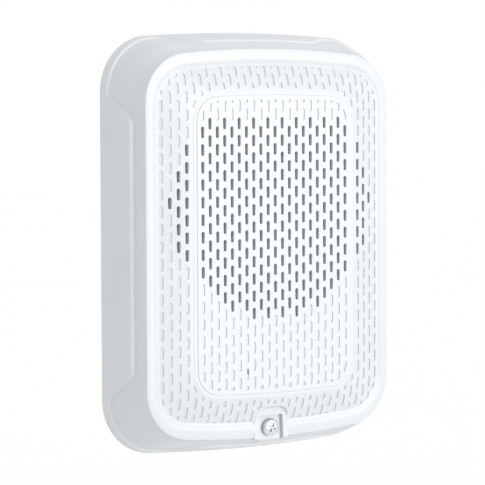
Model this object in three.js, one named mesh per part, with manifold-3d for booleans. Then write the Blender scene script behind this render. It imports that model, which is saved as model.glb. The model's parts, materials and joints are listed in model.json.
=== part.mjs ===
// A wall-mounted alarm sounder: a moulded cover with a slotted grille, the loudspeaker and line transformer
// behind it, and the mounting plate that it hooks on. Millimetres. The wall is the plane Y = 0, the front
// faces -Y, Z is up, and the origin is the middle of the wall face.
import * as THREE from "three";
import { mergeVertices } from "three/addons/utils/BufferGeometryUtils.js";
import Module from "manifold-3d";

const wasm = await Module();
wasm.setup();

// ---- Driving dimensions ----

const gap = 0.3; // between faces that touch
const over = 1; // that a cutting shape runs past the face it opens
const facets = { bore: 10, post: 12, screw: 14, cap: 16, boss: 20, head: 24, turned: 28, window: 40 };

// The whole part: half of its width and height at the wall, and its depth.
const overall = { halfWide: 64.3, halfHigh: 83.1, depth: 26 };

// Cover: depths are measured from the wall towards the front. The rim's outline stands in from the wall's.
const cover = {
  wall: 2.2, rimSideIn: 7.3, rimEndIn: 6.9, rimBack: 3.7, radius: 19.3, bow: 1.8,
  draft: 0.27, endDraft: 0.425, // each mm towards the wall widens the front body by these
  baseRadius: 21, baseBow: 1.3, baseDraft: 0.25, baseEndDraft: 0.2,
  endLedge: 0.75, sideStep: 16.3, endStep: 15, cornerStep: 4, // the ledge's depth along sides, ends and corners
  sideRunIn: 26.6, endRunIn: 29.8, sideChange: 5.2, endChange: 8.5, // where it changes, and half of each change
  rimWide: 3.8, rimHigh: 5, rimRise: 0.5, rimRound: 0.8,
  panelSideIn: 28.1, panelEndIn: 24.8, panelRadius: 9.75, panelBow: 0.6, panelRise: 0.4,
};

// Grille: upright slots in columns, every second column set half a row down.
const slot = {
  wide: 1.4, long: 4.5, pitch: 3.365, latticeZ: 10.3, topZ: 48, radius: 47.6, columns: 14, rows: 20, bare: 11,
};
const seatRing = { inner: 0.4, screen: 2.6, outer: 2.9 }; // how far these reach past the slots

// Loudspeaker, on an axis along Y at this height. Radii from the axis.
const speaker = {
  z: 16, flange: 51, throat: 46, thick: 1, seatSink: 5.7, neckY: -1, neck: 30, backY: 0.7,
  ear: 54, earRadius: 4, ears: 4, screen: 0.3, gasket: 0.7, lip: 0.5,
  windows: 6, windowHalf: 8, windowEdge: 2, neckEdge: 2, neckSlant: 0.6, throatSlant: 0.4,
  washerRadius: 28, washerThick: 4, magnetRadius: 30, magnetThick: 10, magnetHole: 3, yokeThick: 4,
  coilRadius: 12.7, coilWall: 0.3, windingWall: 0.35, coilOver: 1, airGap: 0.3, backClear: 1.35,
  coneLift: 4.4, spiderLift: 1.6, // clearances in front of the basket's back
};
const paper = { edge: 40, thick: 0.5, bulgeIn: 3, bulgeBack: 1, lip: 2, lipBack: 1.6, capLift: 1, capRise: 4.5 };
const roll = { high: 1.6, clear: 1 };
const spiderCloth = { waves: 3, wave: 0.5, thick: 0.35, clear: 0.8 };

const hook = {
  x: 28, y: -2.2, down: 6.1, bar: 1.1, barOver: 2, wide: 8, lug: 1.5,
  lip: 1.3, lipDown: 0.2, gusset: 4, notchOver: 2.6,
  relief: 0.95, reliefHalfWide: 44, reliefHigh: 12, // clearance for the top edge as the cover swings
};
const plate = { thick: 2.5, rim: 6, rimWall: 1.6, clear: 0.7, windowRadius: 40, windowX: 38, windowZ: -45 };
const boxSlot = { spacing: 88.9, wide: 4.8, long: 9 };

const coverScrew = {
  up: 10.7, sink: 5, head: 3.5, headHigh: 2.7, shank: 1.75, clear: 0.4, long: 16, travel: 5.5,
};
const collar = {
  wide: 16, above: 8.2, below: 4.5, proud: 0.3, radius: 5.5, edge: 1.5, // a flat round the screw
  notch: 11, notchAbove: 5, boss: 7, backing: 2.8,
};
const insert = { outer: 3.2, bore: 2.4, postRadius: 5, postY: -9.5, floor: 1 };
const washer = { outer: 3.4, thick: 0.8, clear: 0.25 };

const terminal = {
  count: 4, pitch: 11, screwZ: -52.5, top: -47, bottom: -64, base: 3.7, barrier: 1.6, barrierY: -12,
  housingTop: -57.5, housingY: -12.5, pinZ: -60.7, strip: 1.1, stripWide: 8, clamp: 8.4, clampThick: 1,
  head: 3.2, headHigh: 2.2, shank: 1.75, shankLong: 5.5, shankClear: 0.4, floorLeft: 0.8,
  ear: 6.5, earThick: 2.5, earHalfHigh: 3.2, troughDeep: 0.4, troughDown: 1.8, tailDown: 1.5, pinSlot: 0.4,
  clampBore: 0.3, grooveSide: 1, grooveEnd: 1.2, grooveDeep: 0.3,
};
const pin = { wide: 1.2, tipY: -8.3, proud: 1.4, slack: 0.5 };

const board = { edge: 6.5, top: -43, bottom: -62.5, sink: 8.4, thick: 1.6, screwIn: 3, screwZ: -60 };
const post = { radius: 3, bore: 1.3, clear: 0.2 };
const screwHole = post.bore + post.clear;
const selector = {
  aside: 2.2, z: -50, side: 9, high: 4, dial: 3, stand: 1.1, dialThick: 2.2, slide: 3.4, knob: 2.6,
  wellDeep: 1.4, knobHigh: 1.8, gripDeep: 0.6, gripHalf: 0.35, toolHalf: 0.5, toolDeep: 1, toolTail: 0.6,
};
const header = { end: 3.5, halfHigh: 1.5, high: 2.5 };
const capacitor = { x: 18, y: 5, z: 9, at: -52, edge: 0.8 };

const core = { halfWide: 14, z: -31, halfHigh: 11, y: 0.5, deep: 12, leg: 3.7, window: 10, windowHigh: 7 };
const coil = { wall: 3.7, clear: 0.3 };
const strap = { thick: 1.2, earX: 28, earHalfHigh: 4, earZ: -37, screwX: 24, earY: -5.5, topDown: 1 };
const smallScrew = { head: 2.6, headHigh: 1.7, shank: 1.1, long: 5 };
const panHead = { top: 0.8, edge: 0.4, recess: 0.55, arm: 0.11 }; // shares of the head's radius and height

// Places that follow from the whole part's size.
const rim = {
  halfWide: overall.halfWide - cover.rimSideIn,
  halfHigh: overall.halfHigh - cover.rimEndIn,
  depth: overall.depth - cover.rimBack,
};
const hookZ = overall.halfHigh - hook.down;
const screwZ = coverScrew.up - overall.halfHigh;
const seatY = coverScrew.sink - overall.depth;
const boardY = board.sink - overall.depth;

// The screen, gasket, surround lip and flange stack up behind the cover's seat ring.
const ringY = speaker.seatSink - overall.depth;
const screenY = ringY + gap;
const gasketY = screenY + speaker.screen + gap;
const lipY = gasketY + speaker.gasket + gap;
const flangeY = lipY + speaker.lip + gap;

// ---- Solids ----

// A closed solid of the geometry's triangles.
function solid(geometry) {
  const loose = geometry.index ? geometry.toNonIndexed() : geometry;
  const bare = new THREE.BufferGeometry().setAttribute("position", loose.getAttribute("position"));
  const merged = mergeVertices(bare, 1e-4);
  return new wasm.Manifold(new wasm.Mesh({
    numProp: 3,
    vertProperties: merged.attributes.position.array,
    triVerts: new Uint32Array(merged.index.array),
  }));
}

const cut = (base, ...tools) => tools.reduce((left, tool) => left.subtract(tool), base);
const join = (base, ...others) => others.reduce((whole, other) => whole.add(other), base);

function geometryOf(made) {
  const mesh = made.getMesh();
  const geometry = new THREE.BufferGeometry();
  geometry.setAttribute("position", new THREE.BufferAttribute(mesh.vertProperties, mesh.numProp));
  geometry.setIndex(new THREE.BufferAttribute(mesh.triVerts, 1));
  const flat = geometry.toNonIndexed();
  flat.computeVertexNormals();
  return flat;
}

const around = (half) => [-half, half];

// A box between two corners.
function block([x0, x1], [y0, y1], [z0, z1]) {
  const box = new THREE.BoxGeometry(x1 - x0, y1 - y0, z1 - z0);
  return solid(box.translate((x0 + x1) / 2, (y0 + y1) / 2, (z0 + z1) / 2));
}

// A shape drawn in X and Z, solid from y0 to y1.
function slab(shape, y0, y1, curveSegments = 8) {
  const drawn = new THREE.ExtrudeGeometry(shape, { depth: y1 - y0, bevelEnabled: false, curveSegments });
  return solid(drawn.rotateX(Math.PI / 2).translate(0, y1, 0));
}

// A profile of [radius, y] turned about the Y axis, which then stands at x, z.
function turned(profile, { x = 0, z = 0, sides = facets.turned } = {}) {
  const points = profile.map(([radius, y]) => new THREE.Vector2(radius, y));
  if (THREE.ShapeUtils.area(points) < 0) points.reverse();
  return solid(new THREE.LatheGeometry(points, sides)).translate([x, 0, z]);
}

function rod(radius, y0, y1, { x = 0, z = 0, sides = facets.boss } = {}) {
  return turned([[0, y0], [radius, y0], [radius, y1], [0, y1]], { x, z, sides });
}

function ring(inner, outer, y0, y1, { x = 0, z = 0, sides = facets.turned } = {}) {
  return turned([[inner, y0], [outer, y0], [outer, y1], [inner, y1], [inner, y0]], { x, z, sides });
}

// A polygon drawn in Y and Z, solid from x0 to x1.
function prismAlongX(points, x0, x1) {
  const shape = new THREE.Shape(points.map(([y, z]) => new THREE.Vector2(y, z)));
  const drawn = new THREE.ExtrudeGeometry(shape, { depth: x1 - x0, bevelEnabled: false });
  return solid(drawn.rotateX(Math.PI / 2).rotateZ(Math.PI / 2).translate(x0, 0, 0));
}

// A polygon drawn in Y and X, solid from z0 to z1.
function prismAlongZ(points, z0, z1) {
  const shape = new THREE.Shape(points.map(([y, x]) => new THREE.Vector2(x, y)));
  const drawn = new THREE.ExtrudeGeometry(shape, { depth: z1 - z0, bevelEnabled: false });
  return solid(drawn.translate(0, 0, z0));
}

// ---- Outlines ----

// The points of a rectangle with round corners and bowed ends, anticlockwise as seen from the front.
function outline({ halfWide, halfHigh, radius, bow }) {
  const arcSteps = 6;
  const endSteps = 6;
  const cx = halfWide - radius;
  const cz = halfHigh - bow - radius;
  const points = [];
  for (const [side, end, start] of [[1, 1, 0], [-1, 1, 1], [-1, -1, 2], [1, -1, 3]]) {
    for (let i = 0; i <= arcSteps; i += 1) {
      const angle = (start + i / arcSteps) * Math.PI / 2;
      points.push([side * cx + radius * Math.cos(angle), end * cz + radius * Math.sin(angle)]);
    }
    if (start % 2 === 1) continue;
    for (let i = 1; i < endSteps; i += 1) {
      const share = 1 - 2 * i / endSteps;
      points.push([side * cx * share, end * (halfHigh - bow * share * share)]);
    }
  }
  return points;
}

const shapeOf = (section) => new THREE.Shape(outline(section).map(([x, z]) => new THREE.Vector2(x, z)));

const inset = (section, by) => ({
  ...section,
  halfWide: section.halfWide - by,
  halfHigh: section.halfHigh - by,
  radius: section.radius - by,
});

// A closed solid through outlines of as many points, listed as [y, section] from the wall to the front.
function loft(sections) {
  const rings = sections.map(([y, section]) => outline(section).map(([x, z]) => [x, y, z]));
  const count = rings[0].length;
  const triangles = [];
  const next = (i) => (i + 1) % count;
  for (let k = 0; k + 1 < rings.length; k += 1) {
    const [back, front] = [rings[k], rings[k + 1]];
    for (let i = 0; i < count; i += 1) {
      triangles.push(back[i], back[next(i)], front[i], back[next(i)], front[next(i)], front[i]);
    }
  }
  const [first, last] = [rings[0], rings[rings.length - 1]];
  for (let i = 0; i < count; i += 1) {
    triangles.push([0, first[0][1], 0], first[next(i)], first[i]);
    triangles.push([0, last[0][1], 0], last[i], last[next(i)]);
  }
  const geometry = new THREE.BufferGeometry();
  geometry.setAttribute("position", new THREE.Float32BufferAttribute(triangles.flat(), 3));
  return solid(geometry);
}

// The cover's front body at a depth from the wall.
function bodyAt(depth) {
  const back = rim.depth - depth;
  const share = back / rim.depth;
  return {
    halfWide: rim.halfWide + cover.draft * back,
    halfHigh: Math.min(
      rim.halfHigh + cover.endDraft * back,
      overall.halfHigh - cover.baseEndDraft * depth - cover.endLedge,
    ),
    radius: cover.radius + (cover.baseRadius - cover.radius) * share,
    bow: cover.bow + (cover.baseBow - cover.bow) * share,
  };
}

// The wider back band of the cover at a depth from the wall.
const bandAt = (depth) => ({
  halfWide: overall.halfWide - cover.baseDraft * depth,
  halfHigh: overall.halfHigh - cover.baseEndDraft * depth,
  radius: cover.baseRadius,
  bow: cover.baseBow,
});

const rimInner = {
  halfWide: rim.halfWide - cover.rimWide,
  halfHigh: rim.halfHigh - cover.rimHigh,
  radius: cover.radius - cover.rimWide,
  bow: cover.bow,
};

const panel = {
  halfWide: overall.halfWide - cover.panelSideIn,
  halfHigh: overall.halfHigh - cover.panelEndIn,
  radius: cover.panelRadius,
  bow: cover.panelBow,
};

// What stands inside the cover at a depth, clear of its walls.
const insideAt = (depth) => inset(bodyAt(depth), cover.wall + plate.clear);

// ---- Front cover ----

function coverFront() {
  const rimY = -(rim.depth + cover.rimRise);
  const panelY = -overall.depth;
  return loft([
    [-gap, bodyAt(gap)],
    [-cover.endStep, bodyAt(cover.endStep)],
    [-(rim.depth - cover.rimRound), bodyAt(rim.depth - cover.rimRound)],
    [-rim.depth, inset(bodyAt(rim.depth), cover.rimRound)],
    [rimY, rimInner],
    [rimY + cover.rimRise, inset(rimInner, cover.rimRise)],
    [panelY + cover.panelRise, inset(panel, -cover.panelRise)],
    [panelY, panel],
  ]);
}

const bandTo = (depth) => loft([[-gap, bandAt(gap)], [-depth, bandAt(depth)]]);

// The back band is deepest along the middle of each side, and comes down by a slope towards the corners.
function coverBand() {
  const reach = 2 * overall.halfHigh;
  const slope = (run, change, depth) => [
    [0, -run - change], [-cover.cornerStep, -run - change], [-depth, -run + change],
    [-depth, run - change], [-cover.cornerStep, run + change], [0, run + change],
  ];
  const sides = bandTo(cover.sideStep).intersect(
    prismAlongX(slope(overall.halfHigh - cover.sideRunIn, cover.sideChange, cover.sideStep), -reach, reach),
  );
  const ends = bandTo(cover.endStep).intersect(
    prismAlongZ(slope(overall.halfWide - cover.endRunIn, cover.endChange, cover.endStep), -reach, reach),
  );
  return join(bandTo(cover.cornerStep), sides, ends);
}

function coverCavity() {
  const behindRim = rim.depth - cover.wall;
  const inner = (depth) => inset(bodyAt(depth), cover.wall);
  return loft([
    [gap, inner(0)],
    [-cover.endStep, inner(cover.endStep)],
    [-behindRim, inner(behindRim)],
    [-(behindRim + gap), inset(rimInner, gap)],
    [-(overall.depth - cover.wall), panel],
  ]);
}

// Every open slot, as one set of separate prisms that goes right through the front wall.
function openSlots() {
  const [w, h] = [slot.wide / 2, slot.long / 2];
  const shapes = [];
  for (let column = -slot.columns; column <= slot.columns; column += 1) {
    if (Math.abs(column) === slot.bare) continue;
    const x = column * slot.pitch;
    for (let row = -slot.rows + Math.abs(column % 2); row <= slot.rows; row += 2) {
      const z = slot.latticeZ + row * slot.pitch;
      const reach = Math.hypot(x, Math.abs(z - speaker.z) + h);
      if (z > slot.topZ || reach > slot.radius) continue;
      const corners = [[w, -h], [w, h], [-w, h], [-w, -h]];
      shapes.push(new THREE.Shape(corners.map(([dx, dz]) => new THREE.Vector2(x + dx, z + dz))));
    }
  }
  return slab(shapes, -overall.depth - over, screenY);
}

// The outline of the flat round the screw, between two depths and grown by a margin.
function collarPad(front, back, grow = 0) {
  const half = collar.wide / 2 + grow;
  const radius = collar.radius + grow;
  const top = screwZ + collar.above + grow;
  const bottom = screwZ - collar.below;
  const shape = new THREE.Shape();
  shape.moveTo(-half, bottom);
  shape.lineTo(half, bottom);
  shape.lineTo(half, top - radius);
  shape.absarc(half - radius, top - radius, radius, 0, Math.PI / 2);
  shape.lineTo(radius - half, top);
  shape.absarc(radius - half, top - radius, radius, Math.PI / 2, Math.PI);
  return slab(shape, front, back, 5);
}

const padY = -rim.depth - collar.proud;
const screwBossBack = seatY + collar.backing;

function coverPosts() {
  const innerFace = -(overall.depth - cover.wall) - gap;
  const posts = [];
  for (const side of [-1, 1]) {
    const boardPlace = { x: side * boardScrewX, z: board.screwZ, sides: facets.post };
    const strapPlace = { x: side * strap.screwX, z: strap.earZ, sides: facets.post };
    posts.push(rod(post.radius, innerFace, boardY - gap, boardPlace));
    posts.push(rod(post.radius, innerFace, strap.earY - gap, strapPlace));
  }
  for (const { x, z } of earPlaces()) {
    posts.push(rod(post.radius, innerFace, flangeY - gap, { x, z, sides: facets.post }));
  }
  return posts;
}

// Screw holes go up each post from its free end.
function postBores() {
  const deep = smallScrew.long;
  const bores = [];
  for (const side of [-1, 1]) {
    const boardPlace = { x: side * boardScrewX, z: board.screwZ, sides: facets.bore };
    const strapPlace = { x: side * strap.screwX, z: strap.earZ, sides: facets.bore };
    bores.push(rod(post.bore, boardY - deep, boardY, boardPlace));
    bores.push(rod(post.bore, strap.earY - deep, strap.earY, strapPlace));
  }
  for (const { x, z } of earPlaces()) {
    bores.push(rod(post.bore, flangeY - deep, flangeY, { x, z, sides: facets.bore }));
  }
  return bores;
}

// Bars that hang on the plate's hooks, each between two lugs under the top wall.
function hookBars() {
  const wallZ = insideAt(-hook.y).halfHigh + plate.clear + cover.wall / 2;
  const half = hook.wide / 2 + hook.barOver;
  const bars = [];
  for (const side of [-1, 1]) {
    const bar = solid(new THREE.CylinderGeometry(hook.bar, hook.bar, 2 * half, facets.post).rotateZ(Math.PI / 2));
    bars.push(bar.translate([side * hook.x, hook.y, hookZ]));
    for (const end of [-1, 1]) {
      const x = side * hook.x + end * (half + hook.lug / 2 - gap);
      bars.push(block([x - hook.lug / 2, x + hook.lug / 2], [hook.y - hook.bar, hook.y + hook.bar],
        [hookZ - hook.bar, wallZ]));
    }
  }
  return bars;
}

function frontCover() {
  const shell = cut(join(coverFront(), coverBand()), coverCavity());
  const behindFront = coverFront().translate([0, cover.wall / 2, 0]);
  const seat = ring(slot.radius + seatRing.inner, slot.radius + seatRing.outer, -overall.depth, ringY,
    { z: speaker.z });
  const boss = rod(collar.boss, -rim.depth, screwBossBack, { z: screwZ });
  const half = collar.notch / 2;
  const notch = block([-half, half], [-overall.depth - over, seatY],
    [-overall.halfHigh, screwZ + collar.notchAbove]);
  const bore = rod(coverScrew.shank + coverScrew.clear, -rim.depth, screwBossBack + over,
    { z: screwZ, sides: facets.cap });
  const relief = block([-hook.reliefHalfWide, hook.reliefHalfWide], [-gap - hook.relief, gap],
    [overall.halfHigh - hook.reliefHigh, overall.halfHigh + over]);
  const backing = collarPad(padY, screwBossBack, collar.edge).intersect(coverFront());
  const padRecess = collarPad(-overall.depth - over, padY);
  const built = join(shell, seat.intersect(behindFront), boss, backing, collarPad(padY, seatY),
    ...coverPosts(), ...hookBars());
  return cut(built, padRecess, notch, bore, relief, openSlots(), ...postBores());
}

// ---- Loudspeaker ----

function earPlaces() {
  const places = [];
  for (let i = 0; i < speaker.ears; i += 1) {
    const angle = (i + 0.5) * 2 * Math.PI / speaker.ears;
    places.push({ x: speaker.ear * Math.cos(angle), z: speaker.z + speaker.ear * Math.sin(angle) });
  }
  return places;
}

const gasket = () => ring(slot.radius, speaker.flange, gasketY, gasketY + speaker.gasket, { z: speaker.z });
const dustScreen = () => rod(slot.radius + seatRing.screen, screenY, screenY + speaker.screen, { z: speaker.z });

// The basket's wall runs from the flange to a flat ring at the neck, with windows between its spokes.
function basket() {
  const { flange, throat, throatSlant, thick, neck, neckY, neckEdge, neckSlant, backY, windowEdge } = speaker;
  const backHole = gapOuter + speaker.backClear;
  const shell = turned([
    [throat, flangeY], [flange, flangeY], [flange, flangeY + thick], [throat + thick, flangeY + thick],
    [neck, neckY + thick + neckSlant], [neck - neckEdge, backY + thick], [backHole, backY + thick],
    [backHole, backY], [neck - neckEdge - neckSlant, backY], [neck - thick, neckY],
    [throat - throatSlant, flangeY + thick], [throat, flangeY],
  ], { z: speaker.z });
  const back = flangeY + thick;
  const ears = earPlaces().map((at) => (
    rod(speaker.earRadius, flangeY, back, { ...at, sides: facets.post })
  ));
  const holes = earPlaces().map((at) => (
    rod(screwHole, flangeY - over, back + over, { ...at, sides: facets.bore })
  ));
  const windows = [];
  for (let i = 0; i < speaker.windows; i += 1) {
    const opening = block([neck + windowEdge, throat - windowEdge], [back + over, backY + thick + 2 * over],
      around(speaker.windowHalf));
    windows.push(opening.rotate([0, (i + 0.5) * 360 / speaker.windows, 0]).translate([0, 0, speaker.z]));
  }
  return cut(join(shell, ...ears), ...windows, ...holes);
}

const washerY = speaker.backY + speaker.thick + gap;
const magnetY = washerY + speaker.washerThick + gap;
const yokeY = magnetY + speaker.magnetThick + gap;
const gapOuter = speaker.coilRadius + speaker.coilWall + speaker.windingWall + speaker.airGap;
const coneNeckY = speaker.backY - speaker.coneLift;

const poleWasher = () => ring(gapOuter, speaker.washerRadius, washerY, magnetY - gap, { z: speaker.z });
const magnet = () => (
  ring(gapOuter + speaker.magnetHole, speaker.magnetRadius, magnetY, yokeY - gap, { z: speaker.z })
);

function yoke() {
  const { washerRadius, yokeThick } = speaker;
  const poleRadius = speaker.coilRadius - speaker.coilWall - 2 * speaker.airGap;
  return turned([
    [0, washerY], [poleRadius, washerY], [poleRadius, yokeY], [washerRadius, yokeY],
    [washerRadius, yokeY + yokeThick], [0, yokeY + yokeThick],
  ], { z: speaker.z });
}

function voiceCoil() {
  const { coilRadius, coilWall, windingWall, coilOver, washerThick } = speaker;
  const inner = coilRadius - coilWall;
  const outer = coilRadius + windingWall;
  const [front, back] = [washerY - coilOver, washerY + washerThick + coilOver];
  return turned([
    [inner, coneNeckY], [coilRadius, coneNeckY], [coilRadius, front], [outer, front],
    [outer, back], [inner, back], [inner, coneNeckY],
  ], { z: speaker.z });
}

// The cone's paper runs from its neck to the surround's inner edge.
function cone() {
  const { edge, thick, lip, lipBack, bulgeIn, bulgeBack } = paper;
  const neck = speaker.coilRadius + gap;
  const middle = [(neck + edge) / 2 - bulgeIn, (lipY + coneNeckY) / 2 + bulgeBack];
  return turned([
    [neck, coneNeckY], [middle[0], middle[1] - thick], [edge - lip, lipY], [edge, lipY],
    [edge, lipY + thick], [edge - lipBack, lipY + thick],
    [middle[0] + thick, middle[1] + thick], [neck, coneNeckY + 2 * thick], [neck, coneNeckY],
  ], { z: speaker.z });
}

function dustCap() {
  const radius = speaker.coilRadius - gap;
  const rows = 4;
  const front = [];
  const back = [];
  for (let i = 0; i <= rows; i += 1) {
    const share = i / rows;
    const y = coneNeckY - gap - paper.capLift - paper.capRise * (1 - share * share);
    front.push([radius * share, y]);
    back.unshift([radius * share, y + paper.thick]);
  }
  return turned([...front, ...back], { z: speaker.z, sides: facets.cap });
}

// A half-roll from the cone's edge, with a flat lip between the gasket and the flange.
function surround() {
  const { throat, flange, lip } = speaker;
  const inner = paper.edge + gap;
  const outer = throat - roll.clear;
  const rows = 4;
  const front = [[flange - gap, lipY]];
  const back = [[flange - gap, lipY + lip]];
  for (let i = 0; i <= rows; i += 1) {
    const angle = Math.PI * i / rows;
    const radius = (inner + outer) / 2 + (outer - inner) / 2 * Math.cos(angle);
    const y = lipY + roll.high * Math.sin(angle);
    front.push([radius, y]);
    back.push([radius, y + lip]);
  }
  return turned([...front, ...back.reverse(), front[0]], { z: speaker.z });
}

// Concentric waves between the voice coil and the basket's neck.
function spider() {
  const inner = speaker.coilRadius + speaker.windingWall + gap;
  const outer = speaker.neck - speaker.thick - spiderCloth.clear;
  const steps = 2 * spiderCloth.waves;
  const front = [];
  const back = [];
  for (let i = 0; i <= steps; i += 1) {
    const radius = inner + (outer - inner) * i / steps;
    const y = speaker.backY - speaker.spiderLift + (i % 2 ? spiderCloth.wave : -spiderCloth.wave);
    front.push([radius, y]);
    back.unshift([radius, y + spiderCloth.thick]);
  }
  return turned([...front, ...back, front[0]], { z: speaker.z, sides: facets.head });
}

// ---- Screws ----

// A pan head with a recess on its front, and a shank towards the wall. The seat is at y = 0.
function panScrew({ head, headHigh, shank, long }, { sides = facets.bore, arms = 1 } = {}) {
  const edgeY = -headHigh * panHead.edge;
  const body = turned([
    [0, -headHigh], [head * panHead.top, -headHigh], [head, edgeY], [head, 0],
    [shank, 0], [shank, long], [0, long],
  ], { sides });
  const reach = head * panHead.recess;
  const recess = [];
  for (let i = 0; i < arms; i += 1) {
    const arm = block(around(reach), [-headHigh - over, edgeY], around(head * panHead.arm));
    recess.push(arm.rotate([0, 180 * i / arms, 0]));
  }
  return cut(body, ...recess);
}

// ---- Mounting plate ----

const plateSection = insideAt(plate.rim);

function plateHooks() {
  const half = hook.wide / 2;
  const floorTop = hookZ - hook.bar - gap;
  const floor = floorTop - hook.lip;
  const lipFront = hook.y - hook.bar - gap - hook.lip;
  return [-1, 1].map((side) => prismAlongX([
    [0, floor - hook.gusset], [-plate.thick, floor - hook.gusset], [lipFront, floor],
    [lipFront, hookZ - hook.lipDown], [lipFront + hook.lip, hookZ - hook.lipDown],
    [lipFront + hook.lip, floorTop], [0, floorTop],
  ], side * hook.x - half, side * hook.x + half));
}

function boxSlots() {
  const half = boxSlot.spacing / 2;
  const radius = boxSlot.wide / 2;
  const run = boxSlot.long / 2 - radius;
  const slots = [];
  for (const [sx, sz] of [[1, 1], [-1, 1], [-1, -1], [1, -1]]) {
    const shape = new THREE.Shape();
    shape.absarc(sx * half + run, sz * half, radius, -Math.PI / 2, Math.PI / 2);
    shape.absarc(sx * half - run, sz * half, radius, Math.PI / 2, 3 * Math.PI / 2);
    slots.push(slab(shape, -plate.thick - over, over, 6));
  }
  return slots;
}

function mountingPlate() {
  const web = slab(shapeOf(plateSection), -plate.thick, 0);
  const rimShape = shapeOf(plateSection);
  rimShape.holes.push(new THREE.Path(shapeOf(inset(plateSection, plate.rimWall)).getPoints().reverse()));
  const edge = slab(rimShape, -plate.rim, -plate.thick / 2);
  const postRod = rod(insert.postRadius, insert.postY, -plate.thick / 2, { z: screwZ });
  const insertHole = rod(insert.outer + gap, insert.postY - over, -insert.floor, { z: screwZ });
  const through = rod(insert.bore, -insert.floor - over, over, { z: screwZ });
  const window = rod(plate.windowRadius, -plate.rim - over, over, { z: speaker.z, sides: facets.window });
  const lower = block(around(plate.windowX), [-plate.rim - over, over], [plate.windowZ, speaker.z]);
  const notches = [-1, 1].map((side) => {
    const half = hook.wide / 2 + hook.lug + hook.notchOver;
    const floor = hookZ - hook.bar - gap - hook.lip - over;
    return block([side * hook.x - half, side * hook.x + half], [-plate.rim - over, over],
      [floor, overall.halfHigh]);
  });
  const screwHoles = blockScrewPlaces().map((at) => (
    rod(post.bore, -plate.thick - over, over, { ...at, sides: facets.bore })
  ));
  const body = cut(join(web, edge, postRod), window, lower, insertHole, through,
    ...notches, ...boxSlots(), ...screwHoles);
  return join(body, ...plateHooks());
}

const threadedInsert = () => (
  ring(insert.bore, insert.outer, insert.postY + gap, -insert.floor - gap, { z: screwZ, sides: facets.boss })
);

// ---- Terminal block ----

const blockBack = -plate.thick - gap;
const blockFloor = blockBack - terminal.base;
const stripY = blockFloor - gap;
const clampY = stripY - terminal.strip - gap;
const blockHalf = terminal.pitch * terminal.count / 2 + terminal.barrier / 2;
const selectorX = blockHalf + selector.aside + selector.side / 2;
const boardHalf = selectorX + board.edge;
const boardScrewX = boardHalf - board.screwIn;
const terminalX = (k) => (k - (terminal.count - 1) / 2) * terminal.pitch;

const blockScrewPlaces = () => [-1, 1].map((side) => ({
  x: side * (blockHalf + terminal.ear / 2),
  z: (terminal.top + terminal.bottom) / 2,
}));

function terminalBlock() {
  const { top, bottom, barrier, barrierY, housingTop, housingY, pinZ, pinSlot, count, pitch } = terminal;
  const base = block(around(blockHalf), [blockFloor, blockBack], [bottom, top]);
  const housing = block(around(blockHalf), [housingY, blockFloor + over], [bottom, housingTop]);
  const midZ = (top + bottom) / 2;
  const ears = block(around(blockHalf + terminal.ear), [blockBack - terminal.earThick, blockBack],
    [midZ - terminal.earHalfHigh, midZ + terminal.earHalfHigh]);
  const barriers = [];
  for (let k = 0; k <= count; k += 1) {
    const x = (k - count / 2) * pitch;
    barriers.push(block([x - barrier / 2, x + barrier / 2], [barrierY, blockFloor + over],
      [housingTop - over, top]));
  }
  const cuts = blockScrewPlaces().map((at) => (
    rod(screwHole, blockBack - terminal.earThick - over, blockBack + over, { ...at, sides: facets.bore })
  ));
  for (let k = 0; k < count; k += 1) {
    const x = terminalX(k);
    const half = terminal.stripWide / 4 + gap;
    cuts.push(rod(terminal.shank + terminal.shankClear, blockFloor - over, blockBack - terminal.floorLeft,
      { x, z: terminal.screwZ, sides: facets.screw }));
    cuts.push(block([x - half, x + half], [clampY - terminal.troughDeep, blockFloor],
      [pinZ - terminal.troughDown, housingTop + over]));
    const play = pin.wide / 2 + pin.slack;
    cuts.push(block([x - play, x + play], [housingY - over, blockFloor],
      [pinZ - play - pinSlot, pinZ + play + pinSlot]));
  }
  return cut(join(base, housing, ears, ...barriers), ...cuts);
}

// A hole for the terminal's screw, through the strip or clamp that lies in front of this depth.
const clampBore = (x, back) => (
  rod(terminal.shank + terminal.clampBore, back - 2 * over - terminal.strip, back + over,
    { x, z: terminal.screwZ, sides: facets.screw })
);

// A brass strip under the clamp, with a narrow tail that the contact pin meets in the housing.
function contactStrip(k) {
  const x = terminalX(k);
  const half = terminal.stripWide / 2;
  const wide = block([x - half, x + half], [stripY - terminal.strip, stripY],
    [terminal.housingTop + gap, terminal.top - over]);
  const tail = block([x - half / 2, x + half / 2], [stripY - terminal.strip, stripY],
    [terminal.pinZ - terminal.tailDown, terminal.housingTop + over]);
  return cut(join(wide, tail), clampBore(x, stripY));
}

// A square clamp with its upper and lower edges turned towards the wire.
function clampPlate(k) {
  const x = terminalX(k);
  const half = terminal.clamp / 2;
  const z = terminal.screwZ;
  const flat = block([x - half, x + half], [clampY - terminal.clampThick, clampY], [z - half, z + half]);
  const [across, up] = [half - terminal.grooveSide, half - terminal.grooveEnd];
  const groove = block([x - across, x + across], [clampY - terminal.grooveDeep, clampY + over], [z - up, z + up]);
  return cut(flat, groove, clampBore(x, clampY));
}

// ---- Circuit board and what it carries ----

const boardBack = boardY + board.thick;
const partBase = boardBack + gap;

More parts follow.
